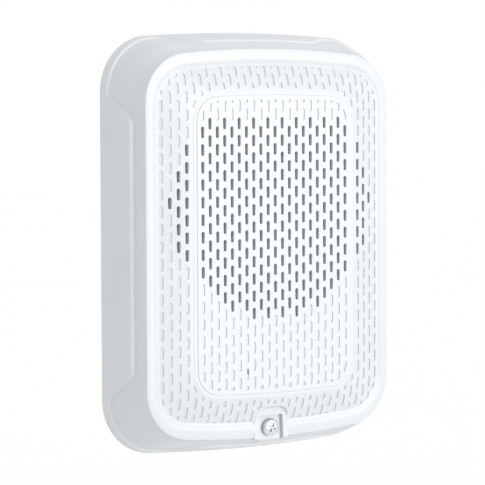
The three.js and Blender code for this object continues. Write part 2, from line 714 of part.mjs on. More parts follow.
function circuitBoard() {
  const middle = (board.top + board.bottom) / 2;
  const holes = [];
  for (const side of [-1, 1]) {
    holes.push(rod(screwHole, boardY - over, boardBack + over,
      { x: side * boardScrewX, z: board.screwZ, sides: facets.bore }));
  }
  for (let k = 0; k < terminal.count; k += 1) {
    const half = pin.wide / 2 + gap;
    const x = terminalX(k);
    holes.push(block([x - half, x + half], [boardY - over, boardBack + over],
      [terminal.pinZ - half, terminal.pinZ + half]));
  }
  const high = (board.top - board.bottom) / 2;
  const sheet = block(around(boardHalf), [boardY, boardBack], [middle - high, middle + high]);
  return cut(sheet, ...holes);
}

function pinHeader() {
  const { halfHigh, high } = header;
  const halfWide = terminal.pitch * (terminal.count - 1) / 2 + header.end;
  const z = terminal.pinZ;
  const body = block(around(halfWide), [partBase, partBase + high], [z - halfHigh, z + halfHigh]);
  const holes = [];
  for (let k = 0; k < terminal.count; k += 1) {
    const half = pin.wide / 2 + gap;
    const x = terminalX(k);
    holes.push(block([x - half, x + half], [partBase - over, partBase + high + over], [z - half, z + half]));
  }
  return cut(body, ...holes);
}

function contactPin(k) {
  const x = terminalX(k);
  const half = pin.wide / 2;
  return block([x - half, x + half], [boardY - pin.proud, pin.tipY],
    [terminal.pinZ - half, terminal.pinZ + half]);
}

function powerBase() {
  const { z, side, high, dial } = selector;
  const x = selectorX;
  const half = side / 2;
  const body = block([x - half, x + half], [partBase, partBase + high], [z - half, z + half]);
  return cut(body, rod(dial + gap, partBase + high - selector.stand - gap, partBase + high + over, { x, z }));
}

// A dial with a screwdriver slot that points to the chosen power.
function powerDial() {
  const { z, high, dial, stand, dialThick, toolHalf, toolDeep, toolTail } = selector;
  const x = selectorX;
  const y0 = partBase + high - stand;
  const y1 = y0 + dialThick;
  const tool = block([x - toolHalf, x + toolHalf], [y1 - toolDeep, y1 + over],
    [z - dial * toolTail, z + dial + over]);
  return cut(rod(dial, y0, y1, { x, z }), tool);
}

const slideWell = () => ({
  half: (selector.knob + selector.slide) / 2 + gap,
  floor: partBase + selector.high - selector.wellDeep,
});

function voltageBase() {
  const { z, side, high, knob } = selector;
  const x = selectorX;
  const half = side / 2;
  const body = block([-x - half, -x + half], [partBase, partBase + high], [z - half, z + half]);
  const well = slideWell();
  return cut(body, block([-x - well.half, -x + well.half], [well.floor, partBase + high + over],
    [z - knob / 2 - gap, z + knob / 2 + gap]));
}

function voltageSlider() {
  const { z, high, knob, slide, knobHigh, gripDeep, gripHalf } = selector;
  const x = selectorX;
  const start = -x - slide / 2;
  const well = slideWell();
  const top = partBase + high + knobHigh;
  const body = block([start - knob / 2, start + knob / 2], [well.floor + gap, top], [z - knob / 2, z + knob / 2]);
  const grip = block([start - gripHalf, start + gripHalf], [top - gripDeep, top + over], [z - knob, z + knob]);
  return cut(body, grip);
}

function filmCapacitor() {
  const { x, y, z, at, edge } = capacitor;
  const shape = new THREE.Shape();
  const [w, h] = [x / 2, z / 2];
  shape.moveTo(-w + edge, at - h);
  shape.lineTo(w - edge, at - h);
  shape.lineTo(w, at - h + edge);
  shape.lineTo(w, at + h - edge);
  shape.lineTo(w - edge, at + h);
  shape.lineTo(-w + edge, at + h);
  shape.lineTo(-w, at + h - edge);
  shape.lineTo(-w, at - h + edge);
  return slab(shape, boardY - gap - y, boardY - gap);
}

// ---- Line transformer ----

const coreBack = core.y + core.deep;

function transformerCore() {
  const { halfWide, z, halfHigh, y, leg, window, windowHigh } = core;
  const stack = block(around(halfWide), [y, coreBack], [z - halfHigh, z + halfHigh]);
  const openings = [[-window, -leg], [leg, window]].map((x) => (
    block(x, [y - over, coreBack + over], [z - windowHigh, z + windowHigh])
  ));
  return cut(stack, ...openings);
}

// The winding wraps the core's middle leg.
function transformerCoil() {
  const { z, y, leg, window, windowHigh } = core;
  const { wall, clear } = coil;
  const high = around(windowHigh - clear).map((half) => z + half);
  const body = block(around(window - clear), [y - clear - wall, coreBack + clear + wall], high);
  const hollow = block(around(leg + clear), [y - clear, coreBack + clear], [z - windowHigh, z + windowHigh]);
  return cut(body, hollow);
}

// A steel band round the core's back and sides, with an ear each side for its screws.
function transformerStrap() {
  const { thick, earX, earHalfHigh, earZ, screwX, earY } = strap;
  const inner = core.halfWide + gap;
  const outer = inner + thick;
  const backY = coreBack + gap;
  const low = earZ - earHalfHigh;
  const high = core.z + core.halfHigh - strap.topDown;
  const band = block(around(outer), [earY, backY + thick], [low, high]);
  const hollow = block(around(inner), [earY - over, backY], [low - over, high + over]);
  const coilHole = block(around(core.window + gap), [backY - over, backY + thick + over],
    [core.z - core.windowHigh - gap, core.z + core.windowHigh + gap]);
  const lowEdge = block(around(earX + over), [earY + thick, backY + thick + over],
    [low - over, core.z - core.halfHigh + strap.topDown]);
  const ears = block(around(earX), [earY, earY + thick], [low, earZ + earHalfHigh]);
  const between = block(around(inner), [earY - over, earY + thick + over], [low - over, high + over]);
  const holes = [-1, 1].map((side) => (
    rod(screwHole, earY - over, earY + thick + over, { x: side * screwX, z: earZ, sides: facets.bore })
  ));
  return cut(join(cut(band, hollow, coilHole, lowEdge), ears), between, ...holes);
}

// ---- Materials ----

const finish = (color, roughness, metalness) => (
  new THREE.MeshStandardMaterial({ color, roughness, metalness })
);
const white = () => finish(0xf2f3f4, 0.42, 0);
const steel = () => finish(0xb9bcc0, 0.35, 1);
const brass = () => finish(0xc8a35a, 0.35, 1);
const black = () => finish(0x1d1e20, 0.6, 0);
const ivory = () => finish(0xdedcd2, 0.5, 0);

// ---- Assembly ----

const sounder = new THREE.Group();

function place(name, made, material, { at = [0, 0, 0], turn = [0, 0, 0], into = sounder } = {}) {
  const mesh = new THREE.Mesh(geometryOf(made), material);
  mesh.name = name;
  mesh.position.set(...at);
  mesh.rotation.set(...turn);
  into.add(mesh);
}

function addPlate() {
  place("mounting_plate", mountingPlate(), finish(0xe6e7e8, 0.5, 0));
  place("threaded_insert", threadedInsert(), brass());
  place("terminal_block", terminalBlock(), black());
  blockScrewPlaces().forEach(({ x, z }, i) => {
    const at = [x, blockBack - terminal.earThick - gap, z];
    const short = { ...smallScrew, long: terminal.earThick + gap + plate.thick };
    place(`block_screw_${i + 1}`, panScrew(short), steel(), { at });
  });
  for (let k = 0; k < terminal.count; k += 1) {
    const seat = clampY - terminal.clampThick - gap;
    const screw = { ...terminal, long: terminal.shankLong };
    place(`terminal_contact_${k + 1}`, contactStrip(k), brass());
    place(`terminal_clamp_${k + 1}`, clampPlate(k), steel());
    place(`terminal_screw_${k + 1}`, panScrew(screw), steel(), { at: [terminalX(k), seat, terminal.screwZ] });
  }
}

function addSpeaker() {
  place("dust_screen", dustScreen(), finish(0x3a3d40, 0.9, 0));
  place("speaker_gasket", gasket(), finish(0x2a2b2d, 0.95, 0));
  place("speaker_basket", basket(), finish(0x8d9094, 0.4, 1));
  place("front_pole_plate", poleWasher(), steel());
  place("ring_magnet", magnet(), finish(0x2b2c2e, 0.7, 0.2));
  place("magnet_yoke", yoke(), steel());
  place("speaker_surround", surround(), finish(0x1c1c1d, 0.8, 0));
  place("speaker_spider", spider(), finish(0xb98a3c, 0.9, 0));
  place("speaker_cone", cone(), finish(0x2a2927, 0.9, 0));
  place("dust_cap", dustCap(), finish(0x2a2927, 0.85, 0));
  place("voice_coil", voiceCoil(), finish(0xb5683a, 0.4, 0.8));
  earPlaces().forEach(({ x, z }, i) => {
    const at = [x, flangeY + speaker.thick + gap, z];
    place(`speaker_screw_${i + 1}`, panScrew(smallScrew), steel(), { at, turn: [Math.PI, 0, 0] });
  });
}

function addBoard() {
  place("circuit_board", circuitBoard(), finish(0x2f6b45, 0.5, 0));
  place("pin_header", pinHeader(), black());
  for (let k = 0; k < terminal.count; k += 1) place(`contact_pin_${k + 1}`, contactPin(k), brass());
  place("power_selector_base", powerBase(), black());
  place("power_selector_dial", powerDial(), ivory());
  place("voltage_selector_base", voltageBase(), black());
  place("voltage_selector_slider", voltageSlider(), ivory());
  place("blocking_capacitor", filmCapacitor(), finish(0xb5402c, 0.4, 0));
  [-1, 1].forEach((side, i) => {
    const turn = [Math.PI, 0, 0];
    const boardSeat = [side * boardScrewX, boardBack + gap, board.screwZ];
    const strapSeat = [side * strap.screwX, strap.earY + strap.thick + gap, strap.earZ];
    place(`board_screw_${i + 1}`, panScrew(smallScrew), steel(), { at: boardSeat, turn });
    place(`strap_screw_${i + 1}`, panScrew(smallScrew), steel(), { at: strapSeat, turn });
  });
}

function addTransformer() {
  place("transformer_core", transformerCore(), finish(0x4b4d50, 0.5, 0.9));
  place("transformer_coil", transformerCoil(), finish(0xc9a23c, 0.6, 0));
  place("transformer_strap", transformerStrap(), steel());
}

function addCover() {
  place("front_cover", frontCover(), white());
  const seat = seatY - gap;
  const crossed = panScrew(coverScrew, { sides: facets.head, arms: 2 });
  place("cover_screw", crossed, finish(0xd3d5d8, 0.22, 1), { at: [0, seat, screwZ] });
  const back = screwBossBack + gap + coverScrew.travel;
  place("retaining_washer", ring(coverScrew.shank + washer.clear, washer.outer, back, back + washer.thick,
    { z: screwZ, sides: facets.boss }), finish(0x8a3b2a, 0.7, 0));
}

addPlate();
addSpeaker();
addBoard();
addTransformer();
addCover();

export default sounder;
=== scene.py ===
"""A wall alarm sounder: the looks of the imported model, built as a Blender add-on and run as a script.

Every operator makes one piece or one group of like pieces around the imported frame. Lengths are metres and
the axes are the frame's: the wall is Y = 0, the front faces -Y and Z is up.
"""
import json
import math

import bmesh
import bpy
from bpy.props import BoolProperty, FloatProperty, FloatVectorProperty, IntProperty, PointerProperty
from mathutils import Matrix, Vector

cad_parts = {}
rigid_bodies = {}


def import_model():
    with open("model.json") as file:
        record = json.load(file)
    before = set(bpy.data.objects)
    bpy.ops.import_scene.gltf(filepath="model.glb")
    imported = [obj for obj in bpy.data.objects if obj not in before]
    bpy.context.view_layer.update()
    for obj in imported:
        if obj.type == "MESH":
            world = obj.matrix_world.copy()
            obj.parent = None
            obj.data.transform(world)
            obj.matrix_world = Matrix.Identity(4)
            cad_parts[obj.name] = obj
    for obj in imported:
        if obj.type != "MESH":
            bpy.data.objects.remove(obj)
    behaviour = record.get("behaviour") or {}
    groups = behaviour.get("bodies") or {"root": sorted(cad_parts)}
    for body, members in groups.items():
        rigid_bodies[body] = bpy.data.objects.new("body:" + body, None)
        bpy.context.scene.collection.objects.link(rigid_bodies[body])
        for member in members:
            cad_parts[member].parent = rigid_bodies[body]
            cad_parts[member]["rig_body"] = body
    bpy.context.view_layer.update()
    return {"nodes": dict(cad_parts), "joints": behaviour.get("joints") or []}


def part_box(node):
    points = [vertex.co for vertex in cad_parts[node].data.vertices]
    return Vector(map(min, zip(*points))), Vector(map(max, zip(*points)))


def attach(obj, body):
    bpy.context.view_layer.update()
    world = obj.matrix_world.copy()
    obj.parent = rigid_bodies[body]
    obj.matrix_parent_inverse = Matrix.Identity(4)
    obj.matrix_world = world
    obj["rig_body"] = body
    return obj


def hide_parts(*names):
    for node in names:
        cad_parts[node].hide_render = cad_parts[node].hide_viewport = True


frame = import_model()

bl_info = {
    "name": "Alarm Sounder",
    "version": (1, 0, 0),
    "blender": (4, 5, 0),
    "location": "3D View > Sidebar > Sounder",
    "description": "Builds a wall alarm sounder with a slotted grille around its packed model",
    "category": "Object",
}

MM = 0.001
OVER = 1 * MM  # that a cutting shape runs past the face it opens
SPEAKER_Z = 0.5 * sum(corner.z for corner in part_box("ring_magnet"))
SCREW_Z = 0.5 * sum(corner.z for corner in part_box("cover_screw"))


# ---- Sizes and colours ----

def length(name, description, default_mm):
    """A length property, in metres, from millimetres."""
    return FloatProperty(name=name, description=description, default=default_mm * MM, unit="LENGTH",
                         precision=5)


def draft_of(name, description, default):
    """A slope: how much wider for each unit towards the wall."""
    return FloatProperty(name=name, description=description, default=default, unit="NONE")


def tint(name, description, red, green, blue):
    """A linear colour property."""
    return FloatVectorProperty(name=name, description=description, default=(red, green, blue),
                               subtype="COLOR", size=3, min=0.0, max=1.0)


class CoverSizes(bpy.types.PropertyGroup):
    """The moulded cover."""
    wall: length("Wall", "Thickness of the moulding", 2.2)
    half_wide: length("Rim half-width", "Half-width of the front outline", 57.0)
    half_high: length("Rim half-height", "Half-height of the front outline", 76.2)
    corner: length("Rim corner", "Corner radius of the front outline", 19.3)
    bow: length("Rim bow", "How far the front outline's ends bow out", 1.8)
    depth: length("Rim depth", "Rim's outer edge, from the wall", 22.3)
    draft: draft_of("Front draft", "Slope of the front body", 0.27)
    base_half_wide: length("Base half-width", "Half-width at the wall", 64.3)
    base_half_high: length("Base half-height", "Half-height at the wall", 83.1)
    base_corner: length("Base corner", "Corner radius at the wall", 21.0)
    base_bow: length("Base bow", "How far the base's ends bow out", 1.3)
    base_draft: draft_of("Band draft", "Slope of the back band's sides", 0.25)
    end_draft: draft_of("Front end draft", "Slope of the front body's ends", 0.425)
    end_ledge: length("End ledge width", "Width of the ledge at the top and bottom", 0.75)
    base_end_draft: draft_of("End draft", "Slope of the back band's ends", 0.2)
    side_step: length("Side ledge", "Depth of the ledge on the long sides", 16.3)
    end_step: length("End ledge", "Depth of the ledge at the top and bottom", 15.0)
    corner_step: length("Corner ledge", "Depth of the ledge round the corners", 4.0)
    side_run: length("Side ledge run", "Half-length of the deep ledge on the sides", 56.5)
    end_run: length("End ledge run", "Half-length of the deep ledge at the ends", 34.5)
    side_change: length("Side ledge change", "Half-length of each change of the side ledge", 5.2)
    end_change: length("End ledge change", "Half-length of each change of the end ledge", 8.5)
    ledge_round: length("Ledge round", "Rounding of the ledge's edge", 0.6)
    ledge_fillet: length("Ledge fillet", "Hollow rounding at the foot of the ledge", 0.35)
    rim_round: length("Rim round", "Rounding of the rim's outer edge", 0.45)
    rim_wide: length("Rim width", "Width of the smooth rim on the sides", 3.8)
    rim_high: length("Rim height", "Width of the smooth rim at the ends", 5.0)
    rim_rise: length("Rim rise", "How much higher the rim's inner edge is than its outer one", 0.45)
    rim_step: length("Rim step", "Drop from the rim to the slotted slope", 0.5)
    rim_blend: length("Rim blend", "Half-width of the soft rise from the slope to the rim", 1.4)
    panel_half_wide: length("Panel half-width", "Half-width of the flat panel", 36.2)
    panel_half_high: length("Panel half-height", "Half-height of the flat panel", 58.3)
    panel_corner: length("Panel corner", "Corner radius of the panel", 9.75)
    panel_bow: length("Panel bow", "How far the panel's ends bow out", 0.6)
    panel_depth: length("Panel depth", "Face of the flat panel, from the wall", 26.0)
    panel_step: length("Panel step", "Height of the panel above its border", 0.32)
    border: length("Border", "Flat border round the panel", 1.5)
    peephole_x: length("Peephole place", "Middle of the small slot near the panel's foot", -13.0)
    peephole_z: length("Peephole height", "Height of the small slot above the middle", -49.4)
    border_step: length("Border step", "Drop from the border to the slotted slope", 0.12)
    skirt_gap: length("Skirt gap", "Gap between the cover's edge and the wall", 0.3)
    relief: length("Top relief", "Extra gap at the top edge, for the swing", 0.95)
    relief_half_wide: length("Relief half-width", "Half-width of the top relief", 44.0)
    boss: length("Screw boss", "Radius of the boss behind the collar", 7.0)
    boss_back: length("Boss back", "Back of the boss, from the wall", 18.2)
    ring_seat: length("Speaker seat", "Back of the loudspeaker's round seat, from the wall", 20.3)
    post: length("Post", "Radius of the inner posts", 3.0)
    post_bore: length("Post bore", "Radius of the posts' screw holes", 1.3)


class GrilleSizes(bpy.types.PropertyGroup):
    """The pattern of slots."""
    wide: length("Slot width", "Width of a slot", 1.4)
    long: length("Slot length", "Length of a slot", 4.5)
    pitch: length("Column pitch", "Distance between columns", 3.365)
    lattice_z: length("Lattice height", "Height of one slot of the middle column", 10.3)
    top_z: length("Open top", "Highest centre of an open slot", 48.0)
    radius: length("Open radius", "Radius of the circle of open slots", 47.6)
    blind_depth: length("Blind depth", "Depth of a closed slot", 0.38)
    chamfer: length("Slot chamfer", "Width of the softened edge of a slot", 0.1)
    panel_margin: length("Panel margin", "Bare edge of the panel", 1.8)
    slope_margin: length("Slope margin", "Bare edge inside the slope", 2.6)
    rim_margin: length("Rim margin", "Bare edge beside the rim", 1.7)
    columns: IntProperty(name="Columns", description="Columns on each side of the middle", default=15)
    rows: IntProperty(name="Rows", description="Half-rows above and below the middle", default=26)
    bare_column: IntProperty(name="Bare column", description="Column that the border interrupts", default=11)


class CollarSizes(bpy.types.PropertyGroup):
    """The flat round the cover screw, level with the rim."""
    half_wide: length("Half-width", "Half-width of the flat", 8.0)
    top: length("Top", "Upper end of the flat", -64.2)
    corner: length("Corner", "Radius of the upper corners", 5.5)
    face: length("Face", "The flat, from the wall", 22.6)
    fillet: length("Fillet", "Rounding where the flat meets the slope", 0.9)
    notch_half_wide: length("Notch half-width", "Half-width of the notch at its top", 5.35)
    notch_splay: length("Notch splay", "How much wider each side is at the bottom", 0.5)
    notch_top: length("Notch top", "Upper end of the notch", -67.4)
    seat: length("Seat", "Floor of the notch, from the wall", 21.0)
    backing: length("Backing", "Thickness behind the notch's floor", 2.8)
    tongue: length("Tongue", "Lower end of the notch's floor", -77.0)


class Colours(bpy.types.PropertyGroup):
    """Linear colours."""
    cover: tint("Cover", "White moulding", 0.580, 0.603, 0.622)
    plate: tint("Plate", "Mounting plate", 0.62, 0.63, 0.64)
    black: tint("Black plastic", "Terminal block and headers", 0.022, 0.022, 0.024)
    ivory: tint("Ivory plastic", "Dial and slider", 0.68, 0.64, 0.55)
    steel: tint("Steel", "Zinc plated steel", 0.62, 0.63, 0.64)
    basket: tint("Basket", "Coated basket", 0.22, 0.23, 0.245)
    brass: tint("Brass", "Contacts", 0.72, 0.52, 0.24)
    ferrite: tint("Ferrite", "Ring magnet", 0.035, 0.035, 0.038)
    cloth: tint("Cloth", "Dust screen", 0.05, 0.05, 0.055)
    board: tint("Board", "Circuit board", 0.02, 0.13, 0.055)
    screw: tint("Screw", "Bright cover screw", 0.72, 0.75, 0.76)


class SounderSettings(bpy.types.PropertyGroup):
    """All the sizes and colours of the sounder."""
    cover: PointerProperty(type=CoverSizes)
    grille: PointerProperty(type=GrilleSizes)
    collar: PointerProperty(type=CollarSizes)
    colours: PointerProperty(type=Colours)
    bevels: BoolProperty(name="Bevels", description="Soften the edges of the inner pieces", default=True)


def settings():
    return bpy.context.scene.sounder


# ---- Shader helpers ----

class Wire:
    """A shader socket that can be used in sums."""

    def __init__(self, material, socket):
        self.material = material
        self.socket = socket

    def _math(self, operation, *values):
        return self.material.node("ShaderNodeMath", {"operation": operation}, *values)

    def __add__(self, other):
        return self._math("ADD", self, other)

    def __radd__(self, other):
        return self._math("ADD", other, self)

    def __sub__(self, other):
        return self._math("SUBTRACT", self, other)

    def __rsub__(self, other):
        return self._math("SUBTRACT", other, self)

    def __mul__(self, other):
        return self._math("MULTIPLY", self, other)

    def __rmul__(self, other):
        return self._math("MULTIPLY", other, self)

    def __truediv__(self, other):
        return self._math("DIVIDE", self, other)


class Surface:
    """A node material on the Principled shader."""

    def __init__(self, name, **sockets):
        self.data = bpy.data.materials.new(name)
        self.data.use_nodes = True
        self.tree = self.data.node_tree
        self.shader = self.tree.nodes["Principled BSDF"]
        self.set(**sockets)
        self._place = None

    def set(self, **sockets):
        """Sets or links the shader's sockets, named with underscores for spaces."""
        for name, value in sockets.items():
            self._feed(self.shader.inputs[name.replace("_", " ")], value)
        return self

    def _feed(self, socket, value):
        if isinstance(value, Wire):
            self.tree.links.new(value.socket, socket)
        elif socket.type == "RGBA" and len(value) == 3:
            socket.default_value = (*value, 1.0)
        else:
            socket.default_value = value

    def node(self, kind, options=None, *values, output=0, **named):
        """Adds a node: its settings first, then its inputs by place or by name. Returns one output."""
        made = self.tree.nodes.new(kind)
        for key, value in (options or {}).items():
            setattr(made, key, value)
        for socket, value in zip(made.inputs, values):
            if value is not None:
                self._feed(socket, value)
        for name, value in named.items():
            self._feed(made.inputs[name.replace("_", " ")], value)
        return Wire(self, made.outputs[output])

    @property
    def place(self):
        """The point on the piece, in metres."""
        if self._place is None:
            self._place = self.node("ShaderNodeTexCoord", output="Object")
        return self._place

    def noise(self, size, detail=2.0, roughness=0.5, stretch=(1, 1, 1)):
        """Noise with features of about this size in metres, from 0 to 1."""
        place = self.node("ShaderNodeMapping", None, self.place, None, None, tuple(s / size for s in stretch))
        return self.node("ShaderNodeTexNoise", None, Vector=place, Scale=1.0, Detail=detail,
                         Roughness=roughness)

    def spread(self, value, low, high, start=0.3, end=0.7):
        """Maps a value from start..end to low..high."""
        return self.node("ShaderNodeMapRange", None, value, start, end, low, high)

    def blend(self, factor, first, second):
        """Mixes two colours."""
        made = self.tree.nodes.new("ShaderNodeMix")
        made.data_type = "RGBA"
        self._feed(made.inputs["Factor"], factor)
        self._feed(made.inputs[6], first)
        self._feed(made.inputs[7], second)
        return Wire(self, made.outputs[2])

    def shades(self, factor, colour, dark, light):
        """A colour between a darker and a lighter shade of itself."""
        return self.blend(factor, shaded(colour, dark), shaded(colour, light))

    def bump(self, height, distance):
        """A bumped normal from a height from 0 to 1, over a distance in metres."""
        return self.node("ShaderNodeBump", None, Strength=1.0, Distance=distance, Height=height)


def shaded(colour, share):
    return tuple(min(1.0, part * share) for part in colour)


def moulded(name, colour, roughness=0.4, grain=0.00035, relief=0.000012, mottle=0.02):
    """Moulded plastic: fine spark-eroded grain, a faint drift of colour and gloss."""
    surface = Surface(name, IOR=1.5)
    drift = surface.noise(0.03, detail=3)
    fine = surface.noise(grain, detail=3, roughness=0.6)
    surface.set(
        Base_Color=surface.shades(surface.spread(drift, 0, 1), colour, 1 - mottle, 1 + mottle),
        Roughness=surface.spread(drift, roughness - 0.04, roughness + 0.05),
        Normal=surface.bump(fine, relief),
    )
    return surface.data


def metal(name, colour, roughness=0.3, brush=(1, 1, 1), relief=0.000006, stain=0.12):
    """Plated or bare metal: brushed along one axis, with duller patches."""
    surface = Surface(name, Metallic=1.0)
    patch = surface.noise(0.006, detail=4)
    lines = surface.noise(0.0004, detail=3, stretch=brush)
    surface.set(
        Base_Color=surface.shades(surface.spread(patch, 0, 1), colour, 1 - stain, 1),
        Roughness=surface.spread(patch, roughness + 0.1, roughness - 0.04),
        Normal=surface.bump(lines, relief),
    )
    return surface.data


def cloth(name, colour, thread=0.0006):
    """Open woven cloth: two crossed sets of threads."""
    surface = Surface(name, Roughness=0.9)
    threads = []
    for direction in "XZ":
        wave = surface.node("ShaderNodeTexWave", {"bands_direction": direction}, Vector=surface.place,
                            Scale=0.314 / thread, Distortion=0.6, Detail=1.0)
        threads.append(surface.node("ShaderNodeSeparateColor", None, wave))
    weave = surface.node("ShaderNodeMath", {"operation": "MAXIMUM"}, *threads)
    surface.set(Base_Color=surface.shades(weave, colour, 0.45, 1.5), Normal=surface.bump(weave, 0.0001))
    return surface.data


def paper(name, colour):
    """Pressed pulp: felted fibres."""
    surface = Surface(name, Roughness=0.88)
    fibre = surface.noise(0.0012, detail=5, roughness=0.7)
    surface.set(Base_Color=surface.shades(surface.spread(fibre, 0, 1), colour, 0.7, 1.4),
                Normal=surface.bump(fibre, 0.00006))
    return surface.data


def board_finish(name, colour):
    """Solder mask over copper tracks, with faint weave."""
    surface = Surface(name, Roughness=0.32, Coat_Weight=0.3)
    across, up = (surface.node("ShaderNodeSeparateXYZ", None, surface.place, output=axis) for axis in "XZ")
    flat = surface.node("ShaderNodeCombineXYZ", None, across, up, 0.0)
    cells = surface.node("ShaderNodeTexBrick", {"offset": 0.5}, flat, Scale=120.0, Mortar_Size=0.045,
                         Brick_Width=1.6, Row_Height=0.5, Color1=(0, 0, 0, 1), Color2=(0.25, 0.25, 0.25, 1),
                         Mortar=(1, 1, 1, 1))
    track = surface.node("ShaderNodeSeparateColor", None, cells)
    surface.set(Base_Color=surface.shades(track, colour, 1, 1.9), Normal=surface.bump(track, 0.00004))
    return surface.data


_finishes = {}

# Finishes that stand for another material slot.
SLOT_OF = {"brushed_steel": "plated_steel"}

# Each finish: how it is made, its colour or the name of its colour setting, and what differs from plain.
FINISHES = {
    "cover_white": (moulded, "cover", {}),
    "plate_white": (moulded, "plate", {"roughness": 0.5, "grain": 0.0006, "relief": 0.00003}),
    "black_plastic": (moulded, "black", {"roughness": 0.45, "relief": 0.00002, "mottle": 0.15}),
    "ivory_plastic": (moulded, "ivory", {}),
    "fibre": (moulded, (0.24, 0.06, 0.035), {"roughness": 0.7, "relief": 0.00004, "mottle": 0.2}),
    "capacitor_red": (moulded, (0.42, 0.07, 0.03), {"roughness": 0.25, "mottle": 0.06}),
    "coil_tape": (moulded, (0.62, 0.40, 0.06), {"roughness": 0.35, "grain": 0.002, "relief": 0.00008}),
    "ferrite": (moulded, "ferrite", {"roughness": 0.6, "grain": 0.001, "relief": 0.00003, "mottle": 0.25}),
    "surround_rubber": (moulded, (0.018, 0.018, 0.019), {"roughness": 0.62}),
    "plated_steel": (metal, "steel", {}),
    "brushed_steel": (metal, "steel", {"roughness": 0.32, "brush": (0.05, 1, 1)}),
    "bright_screw": (metal, "screw", {"roughness": 0.16, "relief": 0.000003, "stain": 0.06}),
    "basket_steel": (metal, "basket", {"roughness": 0.42, "relief": 0.00001}),
    "brass": (metal, "brass", {"stain": 0.25}),
    "copper": (metal, (0.70, 0.28, 0.12), {"brush": (1, 12, 1), "relief": 0.00004}),
    "core_iron": (metal, (0.16, 0.16, 0.17), {"roughness": 0.5, "brush": (1, 6, 1), "relief": 0.00006}),
    "foam": (paper, (0.028, 0.028, 0.03), {}),
    "cone_paper": (paper, (0.035, 0.032, 0.03), {}),
    "spider_cloth": (cloth, (0.45, 0.28, 0.09), {"thread": 0.0009}),
    "screen_cloth": (cloth, "cloth", {}),
    "board_green": (board_finish, "board", {}),
}


def finish(name):
    """The finish of that name, made once."""
    if name not in _finishes:
        maker, colour, options = FINISHES[name]
        if isinstance(colour, str):
            colour = getattr(settings().colours, colour)
        _finishes[name] = maker(name, colour, **options)
        _finishes[name]["slot"] = SLOT_OF.get(name, name)
    return _finishes[name]


# ---- Mesh helpers ----

def scratch(bm, name="scratch"):
    """A bmesh as an object, on its own only for booleans."""
    mesh = bpy.data.meshes.new(name)
    bm.to_mesh(mesh)
    bm.free()
    made = bpy.data.objects.new(name, mesh)
    bpy.context.scene.collection.objects.link(made)
    return made


def piece(bm, name, material):
    """A bmesh as a piece with a finish."""
    made = scratch(bm, name)
    made.data.materials.append(material)
    return made


def fine_piece(bm, node, finish_name, body, smooth_angle):
    """A finished piece that stands for a CAD node."""
    made = piece(bm, f"{node}_fine", finish(finish_name))
    stand_for(made, node, finish_name, body, smooth_angle)


def stand_for(made, node, finish_name, body, smooth_angle):
    """Smooth shading and the piece's body, and hides the CAD node that it stands for."""
    smooth(made.data, smooth_angle)
    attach(made, body)
    finish(finish_name)["slot"]
    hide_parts(node)


def smooth(mesh, degrees):
    """Smooth shading, with the edges sharper than this angle kept sharp."""
    mesh.shade_smooth()
    mesh.set_sharp_from_angle(angle=math.radians(degrees))


def combined(base, tool, operation, solver="MANIFOLD"):
    """Joins, cuts or intersects a piece with a scratch piece, which is then removed."""
    step = base.modifiers.new(operation, "BOOLEAN")
    step.operation, step.solver, step.object = operation, solver, tool
    step.use_self = solver == "EXACT"
    return settled(base, tool)


def settled(base, tool):
    """Applies a piece's modifiers and removes the scratch piece that they used."""
    bpy.context.view_layer.update()
    graph = bpy.context.evaluated_depsgraph_get()
    mesh = bpy.data.meshes.new_from_object(base.evaluated_get(graph), depsgraph=graph)
    base.modifiers.clear()
    old = base.data
    mesh.polygons.foreach_set("material_index", [0] * len(mesh.polygons))
    for slot in range(len(mesh.materials) - 1, 0, -1):
        mesh.materials.pop(index=slot)
    base.data = mesh
    bpy.data.meshes.remove(old)
    mesh.name = base.name
    data = tool.data
    bpy.data.objects.remove(tool)
    bpy.data.meshes.remove(data)
    return base


def softened(bm, width, degrees):
    """Bevels the edges that are sharper than this angle."""
    limit = math.radians(degrees)
    edges = [e for e in bm.edges if len(e.link_faces) == 2 and e.calc_face_angle(0) > limit]
    bmesh.ops.bevel(bm, geom=edges, offset=width, offset_type="OFFSET", segments=2, profile=0.5,
                    affect="EDGES", clamp_overlap=True, material=-1)


def add_block(bm, low, high):
    """A box between two corners."""
    made = bmesh.ops.create_cube(bm, size=1.0)["verts"]
    size = Vector(high) - Vector(low)
    bmesh.ops.scale(bm, verts=made, vec=size)
    bmesh.ops.translate(bm, verts=made, vec=(Vector(low) + Vector(high)) / 2)
    return made


def add_rod(bm, radius, y0, y1, x=0.0, z=0.0, segments=32):
    """A rod along Y."""
    made = bmesh.ops.create_cone(bm, cap_ends=True, segments=segments, radius1=radius, radius2=radius,
                                 depth=y1 - y0)["verts"]
    turn = Matrix.Rotation(-math.pi / 2, 4, "X")
    bmesh.ops.transform(bm, verts=made, matrix=Matrix.Translation((x, (y0 + y1) / 2, z)) @ turn)


def spun(profile, steps, centre=(0, 0, SPEAKER_Z)):
    """A profile of (radius, y) spun about Y through the centre, closed on itself or on the axis."""
    bm = bmesh.new()
    verts = [bm.verts.new((r, y, 0)) for r, y in profile]
    edges = [bm.edges.new(pair) for pair in zip(verts, verts[1:])]
    if profile[0][0] > 0:
        edges.append(bm.edges.new((verts[-1], verts[0])))
    bmesh.ops.spin(bm, geom=verts + edges, cent=(0, 0, 0), axis=(0, 1, 0), dvec=(0, 0, 0),
                   angle=2 * math.pi, steps=steps, use_merge=True, use_duplicate=False)
    bmesh.ops.remove_doubles(bm, verts=bm.verts, dist=1e-7)
    bmesh.ops.recalc_face_normals(bm, faces=bm.faces)
    bmesh.ops.translate(bm, verts=bm.verts, vec=centre)
    return bm


# ---- Outlines ----

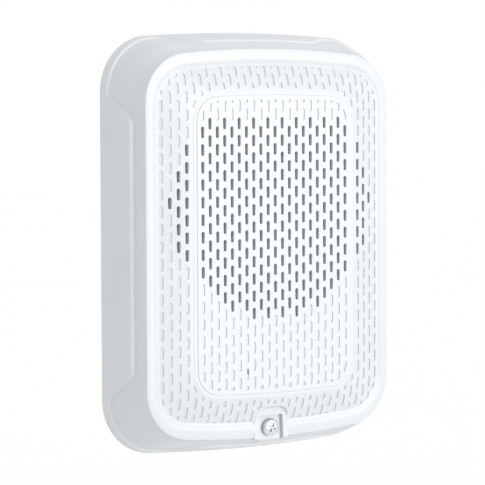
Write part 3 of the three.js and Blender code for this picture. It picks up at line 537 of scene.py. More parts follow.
class Section:
    """A rectangle with round corners and ends that bow out."""

    def __init__(self, half_wide, half_high, corner, bow):
        self.half_wide, self.half_high, self.corner, self.bow = half_wide, half_high, corner, bow

    def inset(self, by):
        return Section(self.half_wide - by, self.half_high - by, max(self.corner - by, 0.0005), self.bow)

    def towards(self, other, share):
        return Section(*(a + (b - a) * share for a, b in zip(self.values(), other.values())))

    def values(self):
        return self.half_wide, self.half_high, self.corner, self.bow

    def arcs(self):
        """The corner's centre, the radius of the bowed end and half of its angle."""
        cx = self.half_wide - self.corner
        bend = (cx * cx + self.bow * self.bow) / (2 * self.bow)
        cz = self.half_high - bend + math.sqrt((bend - self.corner) ** 2 - cx * cx)
        return cx, cz, bend, math.asin(cx / (bend - self.corner))

    def holds(self, x, z):
        """Whether a place lies inside the outline."""
        x, z = abs(x), abs(z)
        cx, cz, bend, lean = self.arcs()
        if z <= cz:
            return x <= self.half_wide
        if math.hypot(x - cx, z - cz) <= self.corner:
            return True
        return x <= bend * math.sin(lean) and math.hypot(x, z - self.half_high + bend) <= bend

    def point(self, quarter, part, share):
        """A point of one quarter: along its side, its corner or its bowed end."""
        cx, cz, bend, lean = self.arcs()
        if part == "side":
            x, z = self.half_wide, cz * share
        elif part == "corner":
            angle = share * (math.pi / 2 - lean)
            x, z = cx + self.corner * math.cos(angle), cz + self.corner * math.sin(angle)
        else:
            angle = lean * (1 - share)
            x, z = bend * math.sin(angle), self.half_high - bend + bend * math.cos(angle)
        flip_x = -1 if quarter in (1, 2) else 1
        flip_z = -1 if quarter in (2, 3) else 1
        return flip_x * x, flip_z * z


PARTS = (("side", 44), ("corner", 26), ("end", 26))


def stations():
    """Places round an outline, anticlockwise from the middle of the right side."""
    found = []
    for quarter in range(4):
        run = [(quarter, part, i / count) for part, count in PARTS for i in range(count)]
        if quarter % 2:
            run = [(quarter, part, (i + 1) / count) for part, count in PARTS for i in range(count)][::-1]
        found += run
    return found


STATIONS = stations()


class Skin:
    """A closed loop of edges that is extruded from outline to outline."""

    def __init__(self, bm, section, depth):
        self.bm = bm
        self.layer = bm.verts.layers.int.new("station")
        ring = bmesh.ops.create_circle(bm, cap_ends=False, segments=len(STATIONS), radius=1.0)["verts"]
        for i, vert in enumerate(ring):
            vert[self.layer] = i
        self.rear = self.edges = list({e for v in ring for e in v.link_edges})
        self.settle(ring, section, depth)

    def settle(self, verts, section, depth):
        """Puts each vertex on the outline, at a depth that may change round it."""
        for vert in verts:
            station = STATIONS[vert[self.layer]]
            x, z = (section(station) if callable(section) else section).point(*station)
            vert.co = (x, -(depth(station) if callable(depth) else depth), z)

    def step(self, section, depth):
        """Extrudes the loop to the next outline."""
        made = bmesh.ops.extrude_edge_only(self.bm, edges=self.edges)["geom"]
        verts = {g for g in made if isinstance(g, bmesh.types.BMVert)}
        self.edges = [g for g in made if isinstance(g, bmesh.types.BMEdge) and verts.issuperset(g.verts)]
        self.settle(verts, section, depth)

    def cap(self):
        bmesh.ops.contextual_create(self.bm, geom=self.edges)

    def closed(self):
        """Caps both ends and turns the faces outwards."""
        self.cap()
        self.edges = self.rear
        self.cap()
        bmesh.ops.recalc_face_normals(self.bm, faces=self.bm.faces)
        return self.bm


def ramp(value, start, end):
    """0 before start and 1 after end, with a soft change between."""
    share = min(1.0, max(0.0, (value - start) / (end - start)))
    return share * share * (3 - 2 * share)


# ---- The front cover ----

def soft_min(first, second, blend):
    """The smaller of two lengths, with a soft change over the blend."""
    share = max(0.0, 1.0 - abs(first - second) / blend)
    return min(first, second) - blend * share * share / 4


class CoverForm:
    """The outlines of the cover, from its sizes."""

    def __init__(self, cover):
        self.cover = cover
        self.base = Section(cover.base_half_wide, cover.base_half_high, cover.base_corner, cover.base_bow)
        self.rim_inner = Section(cover.half_wide - cover.rim_wide, cover.half_high - cover.rim_high,
                                 cover.corner - cover.rim_wide, cover.bow)
        self.panel = Section(cover.panel_half_wide, cover.panel_half_high, cover.panel_corner,
                             cover.panel_bow)
        self.border = self.panel.inset(-cover.border)
        self.slope_top = cover.panel_depth - cover.panel_step
        self.slope_foot = cover.depth + cover.rim_rise - cover.rim_step

    def body(self, depth):
        """The front body's outline at a depth from the wall."""
        back = self.cover.depth - depth
        share = back / self.cover.depth
        c = self.cover
        steep = c.half_high + c.end_draft * back
        limit = c.base_half_high - c.base_end_draft * depth - c.end_ledge
        return Section(c.half_wide + c.draft * back, soft_min(steep, limit, 0.5 * MM),
                       c.corner + (c.base_corner - c.corner) * share, c.bow + (c.base_bow - c.bow) * share)

    def band(self, depth):
        """The wider back band's outline at a depth from the wall, with its corners round the body's."""
        c = self.cover
        half_wide = c.base_half_wide - c.base_draft * depth
        half_high = c.base_half_high - c.base_end_draft * depth
        body = self.body(depth)
        return Section(half_wide, half_high, body.corner + half_wide - body.half_wide, body.bow)

    def ledge(self, x, z):
        """Depth of the ledge at a place on the outline."""
        c = self.cover
        side = 1 - ramp(abs(z), c.side_run - c.side_change, c.side_run + c.side_change)
        end = 1 - ramp(abs(x), c.end_run - c.end_change, c.end_run + c.end_change)
        return c.corner_step + (c.side_step - c.corner_step) * side + (c.end_step - c.corner_step) * end

    def ledge_share(self, station):
        """How much of the fillet fits on the ledge, which is narrow at the corners."""
        depth = self.ledge_at(station)
        room = self.band(depth).half_wide - self.body(depth).half_wide - self.cover.ledge_round
        return min(1.0, 0.8 * room / self.cover.ledge_fillet)

    def ledge_at(self, station):
        x, z = self.base.point(*station)
        return self.ledge(x, z)

    def slope(self, share):
        """Outline and depth of the slotted slope, from the panel's border to the rim."""
        drop = self.slope_top - self.slope_foot
        fall = drop * (0.72 * share + 0.28 * share * share)
        return self.border.towards(self.rim_inner.inset(self.cover.rim_blend), share), self.slope_top - fall


def cover_shell(form):
    """The closed shell: the skirt with its ledge, the rim, the slope and the panel, and the inner wall."""
    bm = bmesh.new()
    gap, soft = form.cover.skirt_gap, 0.35 * MM
    skin = Skin(bm, form.band(gap).inset(soft), gap)
    skin.step(form.band(gap + soft * 0.3).inset(soft * 0.3), gap + soft * 0.3)
    skin.step(form.band(gap + soft), gap + soft)
    ledge_skirt(form, skin)
    rim_and_panel(form, skin)
    skin.cap()
    skin.edges = skin.rear
    inner_wall(form, skin)
    skin.cap()
    bmesh.ops.recalc_face_normals(bm, faces=bm.faces)
    return bm


def ledge_skirt(form, skin):
    """The back band up to the ledge, the ledge's soft edge, and the front body up to the rim."""
    c = form.cover
    ledge = form.ledge_at
    radius, fillet, last = c.ledge_round, c.ledge_fillet, c.depth - c.rim_round
    for share in (0.25, 0.5, 0.75):
        skin.step(lambda s, k=share: form.band(k * (ledge(s) - radius)),
                  lambda s, k=share: k * (ledge(s) - radius))
    for i in range(5):
        angle = i / 4 * math.pi / 2
        back, inwards = radius * (1 - math.sin(angle)), radius * (1 - math.cos(angle))
        skin.step(lambda s, b=back, n=inwards: form.band(ledge(s) - b).inset(n),
                  lambda s, b=back: ledge(s) - b)
    for i in range(5):
        angle = i / 4 * math.pi / 2
        rise, outwards = fillet * (1 - math.cos(angle)), fillet * (1 - math.sin(angle))
        skin.step(lambda s, r=rise, n=outwards: form.body(ledge(s) + r).inset(-n * form.ledge_share(s)),
                  lambda s, r=rise: ledge(s) + r)
    for share in (0.25, 0.5, 0.75, 1.0):
        skin.step(lambda s, k=share: form.body((1 - k) * (ledge(s) + fillet) + k * last),
                  lambda s, k=share: (1 - k) * (ledge(s) + fillet) + k * last)
    for i in range(1, 8):
        angle = i / 7 * math.radians(80)
        skin.step(form.body(last).inset(c.rim_round * (1 - math.cos(angle))),
                  last + c.rim_round * math.sin(angle) * 1.03)


def rim_and_panel(form, skin):
    """The smooth rim, the step down, the slope, the border and the panel's edge."""
    c = form.cover
    rim_face = c.depth + c.rim_rise
    for i in range(9):
        share = i / 8
        drop = (rim_face - form.slope_foot) * ramp(share, 0.0, 1.0)
        skin.step(form.rim_inner.inset(c.rim_blend * (2 * share - 1)), rim_face - drop)
    for i in range(11, 0, -1):
        section, depth = form.slope(i / 12)
        skin.step(section, depth)
    soft = 0.1 * MM
    skin.step(form.border.inset(-soft), form.slope_top - c.border_step)
    skin.step(form.border, form.slope_top - c.border_step * 0.8)
    skin.step(form.border.inset(soft), form.slope_top)
    top, edge = c.panel_depth, 0.12 * MM
    skin.step(form.panel.inset(-edge), form.slope_top)
    skin.step(form.panel, form.slope_top + edge)
    skin.step(form.panel.inset(0.05 * MM), top - edge)
    skin.step(form.panel.inset(0.17 * MM), top)
    skin.step(form.panel.inset(0.6 * MM), top)


def inner_wall(form, skin):
    """The inside of the shell, from the rear edge to the back of the panel."""
    c = form.cover
    skin.step(form.body(c.skirt_gap).inset(c.wall), c.skirt_gap)
    behind = c.depth - c.wall
    skin.step(form.body(behind).inset(c.wall), behind)
    skin.step(form.rim_inner.inset(0.3 * MM), behind + 0.3 * MM)
    skin.step(form.panel.inset(-0.5 * MM), c.panel_depth - c.wall - 0.25 * MM)
    skin.step(form.panel, c.panel_depth - c.wall)


def face_depth(form, x, z):
    """Depth of the outer face at a place inside the rim."""
    c = form.cover
    if form.border.holds(x, z):
        return c.panel_depth if form.panel.holds(x, z) else form.slope_top
    low, high = 0.0, 1.0
    for _ in range(14):
        middle = (low + high) / 2
        section, _depth = form.slope(middle)
        low, high = (low, middle) if section.holds(x, z) else (middle, high)
    return form.slope(high)[1]


def slot_places(grille):
    """Every slot's centre, and whether it is open."""
    for column in range(-grille.columns, grille.columns + 1):
        for row in range(-grille.rows, grille.rows + 1):
            if (column + row) % 2:
                continue
            x, z = column * grille.pitch, grille.lattice_z + row * grille.pitch
            reach = math.hypot(x, abs(z - SPEAKER_Z) + grille.long / 2)
            is_open = z <= grille.top_z and reach <= grille.radius and abs(column) != grille.bare_column
            yield x, z, is_open


def slot_plugs(form, grille, want_open, floor_depth):
    """All open or all closed slots as one set of plugs that flare at the mouth."""
    bm = bmesh.new()
    half = grille.wide / 2
    straight = (grille.long - grille.wide) / 2
    mouth = 0.3 * MM
    for x, z, is_open in slot_places(grille):
        if is_open != want_open or not form.rim_inner.inset(-2 * MM).holds(x, z):
            continue
        ring = bmesh.ops.create_circle(bm, cap_ends=True, segments=12, radius=half)["verts"]
        shape = {v: (v.co.x, v.co.y + math.copysign(straight, v.co.y)) for v in ring}
        cap = ring[0].link_faces[0]
        for level, flare in enumerate((0.0, 0.0, mouth + grille.chamfer)):
            grow = (half + flare) / half
            if level:
                cap, shape = extruded(bm, cap, shape, level > 1)
            for v, (sx, sz) in shape.items():
                px, pz = x + sx, z + sz
                face = face_depth(form, px, pz)
                depth = (floor_depth(face), face - grille.chamfer, face + mouth)[level]
                wide = sx * grow, sz + math.copysign(abs(sz) - straight, sz) * (grow - 1)
                v.co = (x + wide[0], -depth, z + wide[1])
    bmesh.ops.recalc_face_normals(bm, faces=bm.faces)
    return bm


def nearest(shape, vert):
    """The outline place of the vertex that this one was extruded from."""
    source = next(e.other_vert(vert) for e in vert.link_edges if e.other_vert(vert) in shape)
    return shape[source]


def extruded(bm, cap, shape, inner):
    """Extrudes a cap, and drops the old one if it lies inside: the new cap and its outline places."""
    made = bmesh.ops.extrude_face_region(bm, geom=[cap])["geom"]
    if inner:
        bmesh.ops.delete(bm, geom=[cap], context="FACES_ONLY")
    cap = next(g for g in made if isinstance(g, bmesh.types.BMFace))
    return cap, {v: nearest(shape, v) for v in cap.verts}


def ring_plug(outer, inner, near, far):
    """A thick ring or plate between two outlines, as a limit for the closed slots."""
    bm = bmesh.new()
    skin = Skin(bm, outer, near)
    skin.step(outer, far)
    if inner is None:
        return skin.closed()
    skin.step(inner, far)
    skin.step(inner, near)
    bmesh.ops.bridge_loops(bm, edges=skin.rear + skin.edges)
    bmesh.ops.recalc_face_normals(bm, faces=bm.faces)
    return bm


def pad_solid(collar, levels):
    """A plug with the flat's outline, through levels of (depth, how far it is grown)."""
    bm = bmesh.new()
    ring = bmesh.ops.create_circle(bm, cap_ends=True, segments=64, radius=1.0)["verts"]
    cap = ring[0].link_faces[0]
    places = {v: math.atan2(v.co.y, v.co.x) for v in ring}
    for level, (depth, grow) in enumerate(levels):
        if level:
            cap, places = extruded(bm, cap, places, level > 1)
        for v, angle in places.items():
            x, z = pad_point(collar, grow, angle)
            v.co = (x, -depth, z)
    bmesh.ops.recalc_face_normals(bm, faces=bm.faces)
    return bm


def pad_plug(collar, grow, near, far):
    """A plain plug with the flat's outline between two depths."""
    return pad_solid(collar, ((far, grow), (near, grow)))


def pad_point(collar, grow, angle):
    """A point on the flat's outline: round upper corners, and straight sides that run off the cover."""
    half, radius = collar.half_wide + grow, collar.corner + grow
    top = collar.top + grow
    c, s = math.cos(angle), math.sin(angle)
    if s < 0:
        corner = max(abs(c), abs(s))
        return half * c / corner, top - radius + 14 * MM * s / corner
    return math.copysign(half - radius, c) + radius * c, top - radius + radius * s


def pad_recess(form, collar):
    """What is cleared away in front of the flat, with a hollow rounding at its foot."""
    steps, reach = 4, collar.fillet
    levels = []
    for i in range(steps + 1):
        angle = i / steps * math.pi / 2
        levels.append((collar.face + reach * (1 - math.cos(angle)), -reach * (1 - math.sin(angle))))
    levels.append((form.cover.panel_depth + OVER, 1.2 * MM))
    return pad_solid(collar, levels)


def cover_insides(form, collar):
    """The boss and the posts behind the front wall."""
    c = form.cover
    bm = bmesh.new()
    add_rod(bm, c.boss, -(c.depth - 0.6 * MM), -c.boss_back, z=SCREW_Z, segments=48)
    inner = c.panel_depth - c.wall + 0.4 * MM
    for x, z, back in post_places():
        add_rod(bm, c.post, -inner, back, x=x, z=z, segments=24)
    return bm


def post_places():
    """Each inner post's place and its free end."""
    for name, count, carried in (("board_screw", 2, "circuit_board"), ("strap_screw", 2, "transformer_strap"),
                                 ("speaker_screw", 4, "speaker_basket")):
        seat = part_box(carried)[0].y
        for i in range(1, count + 1):
            low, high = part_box(f"{name}_{i}")
            yield (low.x + high.x) / 2, (low.z + high.z) / 2, seat - 0.3 * MM


def seat_ring(form, grille):
    """The round seat for the speaker, with its front end inside the front wall."""
    radius = grille.radius + 0.4 * MM
    wide = 2.5 * MM
    seat = -form.cover.ring_seat
    front = -(form.cover.panel_depth - 1.1 * MM)
    return spun([(radius, front), (radius + wide, front), (radius + wide, seat), (radius, seat)], 120)


def hook_bars(form):
    """The two bars that hang on the plate's hooks, each between two lugs."""
    bm = bmesh.new()
    joint = next(j for j in frame["joints"] if j["name"] == "cover_swing")
    pivot = Vector(joint["pos_m"])
    radius, half, lug, aside, up = 1.1 * MM, 6.0 * MM, 1.5 * MM, 28 * MM, 2.8 * MM
    turn = Matrix.Rotation(math.pi / 2, 4, "Y")
    for side in (-1, 1):
        centre = Vector((side * aside, pivot.y, pivot.z))
        bar = bmesh.ops.create_cone(bm, cap_ends=True, segments=24, radius1=radius, radius2=radius,
                                    depth=2 * half)["verts"]
        bmesh.ops.transform(bm, verts=bar, matrix=Matrix.Translation(centre) @ turn)
        for end in (-1, 1):
            x = centre.x + end * (half + lug / 2)
            add_block(bm, (x - lug / 2, pivot.y - radius, pivot.z - radius),
                      (x + lug / 2, pivot.y + radius, pivot.z + up))
    return bm


class SOUNDER_OT_front_cover(bpy.types.Operator):
    """The moulded front cover with its open and closed slots"""
    bl_idname = "sounder.front_cover"
    bl_label = "Front cover"

    def execute(self, context):
        sizes = settings()
        cover, grille, collar = sizes.cover, sizes.grille, sizes.collar
        form = CoverForm(cover)
        made = piece(cover_shell(form), "cover_moulding", finish("cover_white"))
        within = "INTERSECT"
        seat = combined(scratch(seat_ring(form, grille)), scratch(shell_fill(form)), within)
        backing = scratch(pad_plug(collar, 1.5 * MM, collar.face, collar.seat - collar.backing))
        backing = combined(backing, scratch(shell_fill(form)), within)
        pad = scratch(pad_plug(collar, 0.0, collar.face, collar.seat))
        for tool in (seat, scratch(cover_insides(form, collar)), backing, pad, scratch(hook_bars(form))):
            combined(made, tool, "UNION")
        combined(made, scratch(trimmed(form)), within)
        through = cover.panel_depth - 6.2 * MM
        for tool in (scratch(pad_recess(form, collar)), scratch(cover_cuts(form, collar)),
                     closed_slots(form, grille, collar),
                     scratch(slot_plugs(form, grille, True, lambda face: through))):
            combined(made, tool, "DIFFERENCE")
        stand_for(made, "front_cover", "cover_white", "cover", 24)
        return {"FINISHED"}


def shell_fill(form):
    """The space inside the outer face, set back a little, as a limit for what stands behind it."""
    back, front, behind = 1 * MM, form.cover.depth - 2 * MM, 1.1 * MM
    skin = Skin(bmesh.new(), form.body(back).inset(back), back)
    skin.step(form.body(front).inset(back), front)
    skin.step(form.rim_inner, form.slope_foot - behind)
    section, depth = form.slope(0.5)
    skin.step(section, depth - behind)
    skin.step(form.border, form.slope_top - behind)
    return skin.closed()


def trimmed(form):
    """The space within the front body's outline, for the flat and its notch to end at."""
    c = form.cover
    outside = -0.4 * MM
    skin = Skin(bmesh.new(), form.base.inset(outside), -OVER)
    skin.step(form.base.inset(outside), c.side_step)
    skin.step(form.body(c.side_step).inset(outside), c.side_step + OVER)
    skin.step(form.body(c.depth).inset(outside), c.depth)
    skin.step(form.body(c.depth).inset(outside), c.panel_depth + OVER)
    return skin.closed()


def cover_cuts(form, collar):
    """The notch, the screw's hole, the relief at the top edge and the posts' bores."""
    c = form.cover
    bm = bmesh.new()
    screw_hole, relief_high, bore_deep, across, up = 2.15 * MM, 12 * MM, 5 * MM, 0.3 * MM, 1.0 * MM
    half, low, top = collar.notch_half_wide, -c.base_half_high, collar.notch_top
    splay = collar.notch_splay * (top - low) / (top - collar.tongue)
    for v in add_block(bm, (-half, -collar.face - OVER, low), (half, -collar.seat, top)):
        if v.co.z < collar.tongue:
            v.co.x += math.copysign(splay, v.co.x)
    add_rod(bm, screw_hole, -collar.seat - 0.1 * MM, -c.boss_back + OVER, z=SCREW_Z)
    add_block(bm, (-c.relief_half_wide, -c.skirt_gap - c.relief, c.base_half_high - relief_high),
              (c.relief_half_wide, OVER, c.base_half_high + OVER))
    for x, z, back in post_places():
        add_rod(bm, c.post_bore, back - bore_deep, back + OVER, x=x, z=z, segments=16)
    add_block(bm, (c.peephole_x - across, -c.panel_depth - OVER, c.peephole_z - up),
              (c.peephole_x + across, -c.depth + c.wall, c.peephole_z + up))
    return bm


def closed_slots(form, grille, collar):
    """The shallow closed slots, cut off at the edges of the panel, the slope and the collar."""
    near, far = 15 * MM, 30 * MM
    plugs = slot_plugs(form, grille, False, lambda face: face - grille.blind_depth)
    all_slots = scratch(plugs, "closed_slots")
    panel_part = scratch(ring_plug(form.panel.inset(grille.panel_margin), None, near, far))
    slope_part = scratch(ring_plug(form.rim_inner.inset(grille.rim_margin),
                                   form.border.inset(-grille.slope_margin + form.cover.border), near, far))
    zones = combined(panel_part, slope_part, "UNION")
    combined(all_slots, zones, "INTERSECT")
    combined(all_slots, scratch(pad_plug(collar, 1.4 * MM, far, near)), "DIFFERENCE")
    return all_slots


# ---- Screws ----

def put(bm, x, y, z, forwards):
    """Places what was made at the origin, turned about if it faces the wall."""
    if not forwards:
        bmesh.ops.rotate(bm, verts=bm.verts, cent=(0, 0, 0), matrix=Matrix.Rotation(math.pi, 3, "X"))
    bmesh.ops.translate(bm, verts=bm.verts, vec=(x, y, z))
    return bm


def screw_form(radius, high, shank, length_):
    """A pan head screw along Y: a domed head, a rolled thread and a blunt point."""
    pitch = 0.79375 * MM
    rise = [(0.0, -high)]
    for i in range(9):
        angle = i / 8 * math.pi / 2
        rise.append((radius * (0.62 + 0.38 * math.sin(angle)), -high * (0.30 + 0.70 * math.cos(angle))))
    rise += [(radius, -0.12 * high), (radius * 0.97, 0.0), (shank, 0.0)]
    turns = int((length_ - 0.8 * MM) / pitch)
    for i in range(turns):
        start = 0.5 * MM + i * pitch
        rise += [(shank, start), (shank, start + 0.08 * pitch), (shank * 0.84, start + 0.45 * pitch),
                 (shank * 0.84, start + 0.58 * pitch)]
    rise += [(shank, length_ - 0.5 * MM), (shank * 0.7, length_), (0.0, length_)]
    rise[0] = (0.0, rise[1][1])
    return spun(rise, 48, (0, 0, 0))


def cross_recess(reach, depth, half, turn):
    """The cross recess: two tapered arms about a pointed middle."""
    bm = bmesh.new()
    for i in range(2):
        arm = bmesh.ops.create_cube(bm, size=2.0)["verts"]
        for v in arm:
            deep = v.co.y > 0
            v.co = (v.co.x * reach * (0.55 if deep else 1.0), depth if deep else -1 * MM,
                    v.co.z * half * (0.6 if deep else 1.0))
        about = Matrix.Rotation(turn + i * math.pi / 2, 3, "Y")
        bmesh.ops.rotate(bm, verts=arm, cent=(0, 0, 0), matrix=about)
    return bm


# Each kind of screw: head height, shank radius, how far its face is set back, recess's share of the head.
COVER_SCREW = (1.9 * MM, 1.75 * MM, 0.8 * MM, 0.68)
TERMINAL_SCREW = (2.2 * MM, 1.75 * MM, 0.0, 0.56)
SMALL_SCREW = (1.7 * MM, 1.1 * MM, 0.0, 0.56)


class SOUNDER_OT_screws(bpy.types.Operator):
    """All the screws: pan heads with cross recesses"""
    bl_idname = "sounder.screws"
    bl_label = "Screws"

    def execute(self, context):
        self.make("cover_screw", "cover_screw", COVER_SCREW, True, 0.5, "bright_screw")
        for i in range(1, 5):
            self.make(f"terminal_screw_{i}", f"terminal_screw_{i}", TERMINAL_SCREW, True, 0.4 * i)
            self.make(f"speaker_screw_{i}", "cover", SMALL_SCREW, False, 0.7 * i)
        for i in (1, 2):
            self.make(f"block_screw_{i}", "plate", SMALL_SCREW, True, 0.9 * i)
            self.make(f"board_screw_{i}", "cover", SMALL_SCREW, False, 0.6 * i)
            self.make(f"strap_screw_{i}", "cover", SMALL_SCREW, False, 1.1 * i)
        return {"FINISHED"}

    def make(self, node, body, kind, forwards, turn, finish_name="plated_steel"):
        """A pan-head screw in a node's place, its recess turned by an angle."""
        head_high, shank, sunk, wide = kind
        low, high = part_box(node)
        x, z = (low.x + high.x) / 2, (low.z + high.z) / 2
        radius = (high.z - low.z) / 2
        front = low.y + sunk if forwards else high.y
        seat = front + head_high if forwards else front - head_high
        fine = screw_form(radius, head_high, shank, high.y - low.y - head_high - sunk)
        made = piece(put(fine, x, seat, z, forwards), f"{node}_fine", finish(finish_name))
        recess = cross_recess(radius * wide, head_high * 0.62, radius * 0.115, turn)
        combined(made, scratch(put(recess, x, front, z, forwards)), "DIFFERENCE", "EXACT")
        stand_for(made, node, finish_name, body, 30)


# ---- Speaker ----

GAP_RADIUS = 13.65 * MM  # outside of the magnetic gap
SOFT = 0.5 * MM  # chamfer of the iron and magnet rings
PAPER = 0.45 * MM


def thick(line):
    """A thin wall behind a line of (radius, y)."""
    return line + [(r, y + PAPER) for r, y in reversed(line)]


def extent(node):
    """Outer radius, front and back of a round node."""
    low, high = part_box(node)
    return (high.x - low.x) / 2, low.y, high.y


class SOUNDER_OT_speaker(bpy.types.Operator):
    """The round parts of the loudspeaker, spun on its axis"""
    bl_idname = "sounder.speaker"
    bl_label = "Loudspeaker"

    def execute(self, context):
        self.ring("front_pole_plate", "plated_steel", GAP_RADIUS)
        self.ring("ring_magnet", "ferrite", GAP_RADIUS + 3 * MM)
        self.yoke()
        self.cone()
        self.dust_cap()
        self.surround()
        return {"FINISHED"}

    def ring(self, node, name, inner):
        outer, y0, y1 = extent(node)
        line = [(inner, y0), (outer - SOFT, y0), (outer, y0 + SOFT), (outer, y1 - SOFT), (outer - SOFT, y1),
                (inner, y1)]
        fine_piece(spun(line, 128), node, name, "cover", 35)

    def yoke(self):
        outer, y0, y1 = extent("magnet_yoke")
        pole, back = 12 * MM, y1 - 4 * MM
        line = [(0, y0), (pole - SOFT, y0), (pole, y0 + SOFT), (pole, back), (outer - SOFT, back),
                (outer, back + SOFT), (outer, y1 - SOFT), (outer - SOFT, y1), (0, y1)]
        fine_piece(spun(line, 128), "magnet_yoke", "plated_steel", "cover", 35)

    def cone(self):
        outer, y0, y1 = extent("speaker_cone")
        neck, lip, steps = 13.1 * MM, 1.5 * MM, 24
        line = [(neck + (outer - lip - neck) * (i / steps),
                 y1 - 1.0 * MM - (y1 - y0 - 1.2 * MM) * math.sin(i / steps * math.pi / 2) ** 0.9)
                for i in range(steps + 1)]
        line.append((outer, y0 + 0.05 * MM))
        fine_piece(spun(thick(line), 128), "speaker_cone", "cone_paper", "cone", 40)

    def dust_cap(self):
        radius, crown, foot = extent("dust_cap")
        line = [(radius * i / 12, crown + (foot - crown - 0.5 * MM) * (i / 12) ** 2) for i in range(13)]
        fine_piece(spun(thick(line), 96), "dust_cap", "cone_paper", "cone", 50)

    def surround(self):
        flange, lip, _back = extent("speaker_surround")
        inner, outer, rise = 40.3 * MM, 45.0 * MM, 1.55 * MM
        line = [(inner + (outer - inner) * i / 16, lip + rise * math.sin(math.pi * i / 16))
                for i in range(17)]
        line.append((flange, lip))
        fine_piece(spun(thick(line), 128), "speaker_surround", "surround_rubber", "cover", 50)


# ---- Refined CAD pieces ----

# Copies of CAD nodes with their edges softened: finish, and bevel in millimetres.
REFINED = {
    "mounting_plate": ("plate_white", 0.35), "terminal_block": ("black_plastic", 0.25),
    "transformer_strap": ("brushed_steel", 0.2), "transformer_core": ("core_iron", 0.12),
    "transformer_coil": ("coil_tape", 0.7), "circuit_board": ("board_green", 0.12),
    "pin_header": ("black_plastic", 0.15), "power_selector_base": ("black_plastic", 0.3),
    "voltage_selector_base": ("black_plastic", 0.3), "power_selector_dial": ("ivory_plastic", 0.2),
    "voltage_selector_slider": ("ivory_plastic", 0.2), "blocking_capacitor": ("capacitor_red", 0.5),
    "retaining_washer": ("fibre", 0.1), "threaded_insert": ("brass", 0.15),
    **{f"terminal_contact_{i}": ("brass", 0.1) for i in range(1, 5)},
    **{f"terminal_clamp_{i}": ("plated_steel", 0.12) for i in range(1, 5)},
    **{f"contact_pin_{i}": ("brass", 0.15) for i in range(1, 5)},
}
# CAD nodes that show as they are.
PLAIN = {
    "dust_screen": "screen_cloth", "speaker_gasket": "foam", "speaker_basket": "basket_steel",
    "speaker_spider": "spider_cloth", "voice_coil": "copper",
}


class SOUNDER_OT_refined(bpy.types.Operator):
    """The plate, the terminals, the board and the transformer, with softened edges"""
    bl_idname = "sounder.refined"
    bl_label = "Inner pieces"

    def execute(self, context):
        for node, (name, width) in REFINED.items():
            source = frame["nodes"][node]
            bm = bmesh.new()
            bm.from_mesh(source.data)
            bmesh.ops.remove_doubles(bm, verts=bm.verts, dist=2e-6)
            bmesh.ops.dissolve_limit(bm, angle_limit=math.radians(2), verts=bm.verts, edges=bm.edges)
            if settings().bevels:
                softened(bm, width * MM, 40)
            fine_piece(bm, node, name, source["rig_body"], 35)
        for node, name in PLAIN.items():
            mesh = frame["nodes"][node].data
            mesh.materials.clear()
            mesh.materials.append(finish(name))
        return {"FINISHED"}


# ---- Stage ----

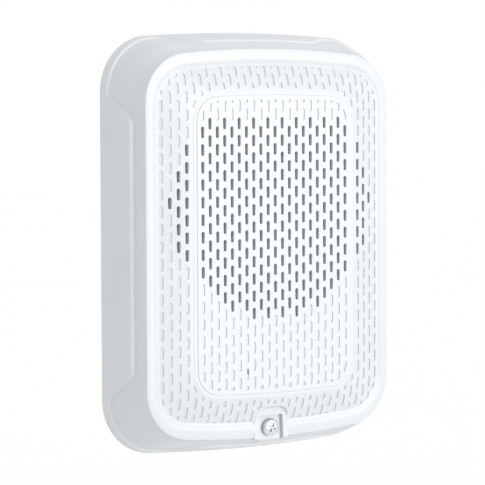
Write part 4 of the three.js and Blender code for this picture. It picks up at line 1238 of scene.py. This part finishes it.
class SOUNDER_OT_stage(bpy.types.Operator):
    """The floor, the light and the camera"""
    bl_idname = "sounder.stage"
    bl_label = "Stage"

    def execute(self, context):
        self.camera(context)
        self.light(context)
        self.floor()
        return {"FINISHED"}

    def camera(self, context):
        data = bpy.data.cameras.new("camera")
        data.lens, data.sensor_width = 187.9, 36.0
        data.clip_start, data.clip_end = 0.05, 50.0
        made = bpy.data.objects.new("camera", data)
        turn, rise, roll = math.radians(33.8), math.radians(3.17), math.radians(-0.24)
        back = Vector((-math.sin(turn) * math.cos(rise), -math.cos(turn) * math.cos(rise), math.sin(rise)))
        right = (-back).cross(Vector((0, 0, 1))).normalized()
        up = right.cross(-back)
        side = math.cos(roll) * right + math.sin(roll) * up
        top = -math.sin(roll) * right + math.cos(roll) * up
        place = Matrix((side, top, back)).transposed().to_4x4()
        place.translation = Vector((-0.5605, -0.840, 0.0554))
        made.matrix_world = place
        context.scene.collection.objects.link(made)
        context.scene.camera = made

    def light(self, context):
        scene = context.scene
        scene.view_settings.view_transform = "Standard"
        world = bpy.data.worlds.new("studio")
        world.use_nodes = True
        sky = world.node_tree.nodes["Background"].inputs
        sky["Color"].default_value = (1.0, 1.0, 1.0, 1.0)
        sky["Strength"].default_value = 1.0
        scene.world = world
        key = bpy.data.lights.new("key", "SUN")
        key.energy, key.angle = 2.05, math.radians(25)
        made = bpy.data.objects.new("key", key)
        made.rotation_euler = Vector((0.45, -1.0, 0.08)).to_track_quat("Z", "Y").to_euler()
        scene.collection.objects.link(made)

    def floor(self):
        bm = bmesh.new()
        bmesh.ops.create_grid(bm, x_segments=1, y_segments=1, size=6.0)
        bmesh.ops.translate(bm, verts=bm.verts, vec=(0, 0, -0.2))
        surface = Surface("floor", Roughness=0.9)
        shade = surface.noise(0.4, detail=2)
        surface.set(Base_Color=surface.blend(shade, (0.93, 0.93, 0.93), (0.95, 0.95, 0.95)))
        piece(bm, "floor", surface.data)


# ---- Add-on ----

class SOUNDER_PT_panel(bpy.types.Panel):
    """Lists the pieces of the sounder"""
    bl_idname = "SOUNDER_PT_panel"
    bl_label = "Alarm sounder"
    bl_space_type = "VIEW_3D"
    bl_region_type = "UI"
    bl_category = "Sounder"

    def draw(self, context):
        for operator in OPERATORS:
            self.layout.operator(operator.bl_idname)


OPERATORS = (SOUNDER_OT_front_cover, SOUNDER_OT_screws, SOUNDER_OT_speaker, SOUNDER_OT_refined,
             SOUNDER_OT_stage)
CLASSES = (CoverSizes, GrilleSizes, CollarSizes, Colours, SounderSettings, *OPERATORS, SOUNDER_PT_panel)


def register():
    for cls in CLASSES:
        bpy.utils.register_class(cls)
    bpy.types.Scene.sounder = PointerProperty(type=SounderSettings)


def unregister():
    del bpy.types.Scene.sounder
    for cls in reversed(CLASSES):
        bpy.utils.unregister_class(cls)


def main():
    register()
    bpy.ops.sounder.front_cover()
    bpy.ops.sounder.screws()
    bpy.ops.sounder.speaker()
    bpy.ops.sounder.refined()
    bpy.ops.sounder.stage()


if __name__ == "__main__":
    main()
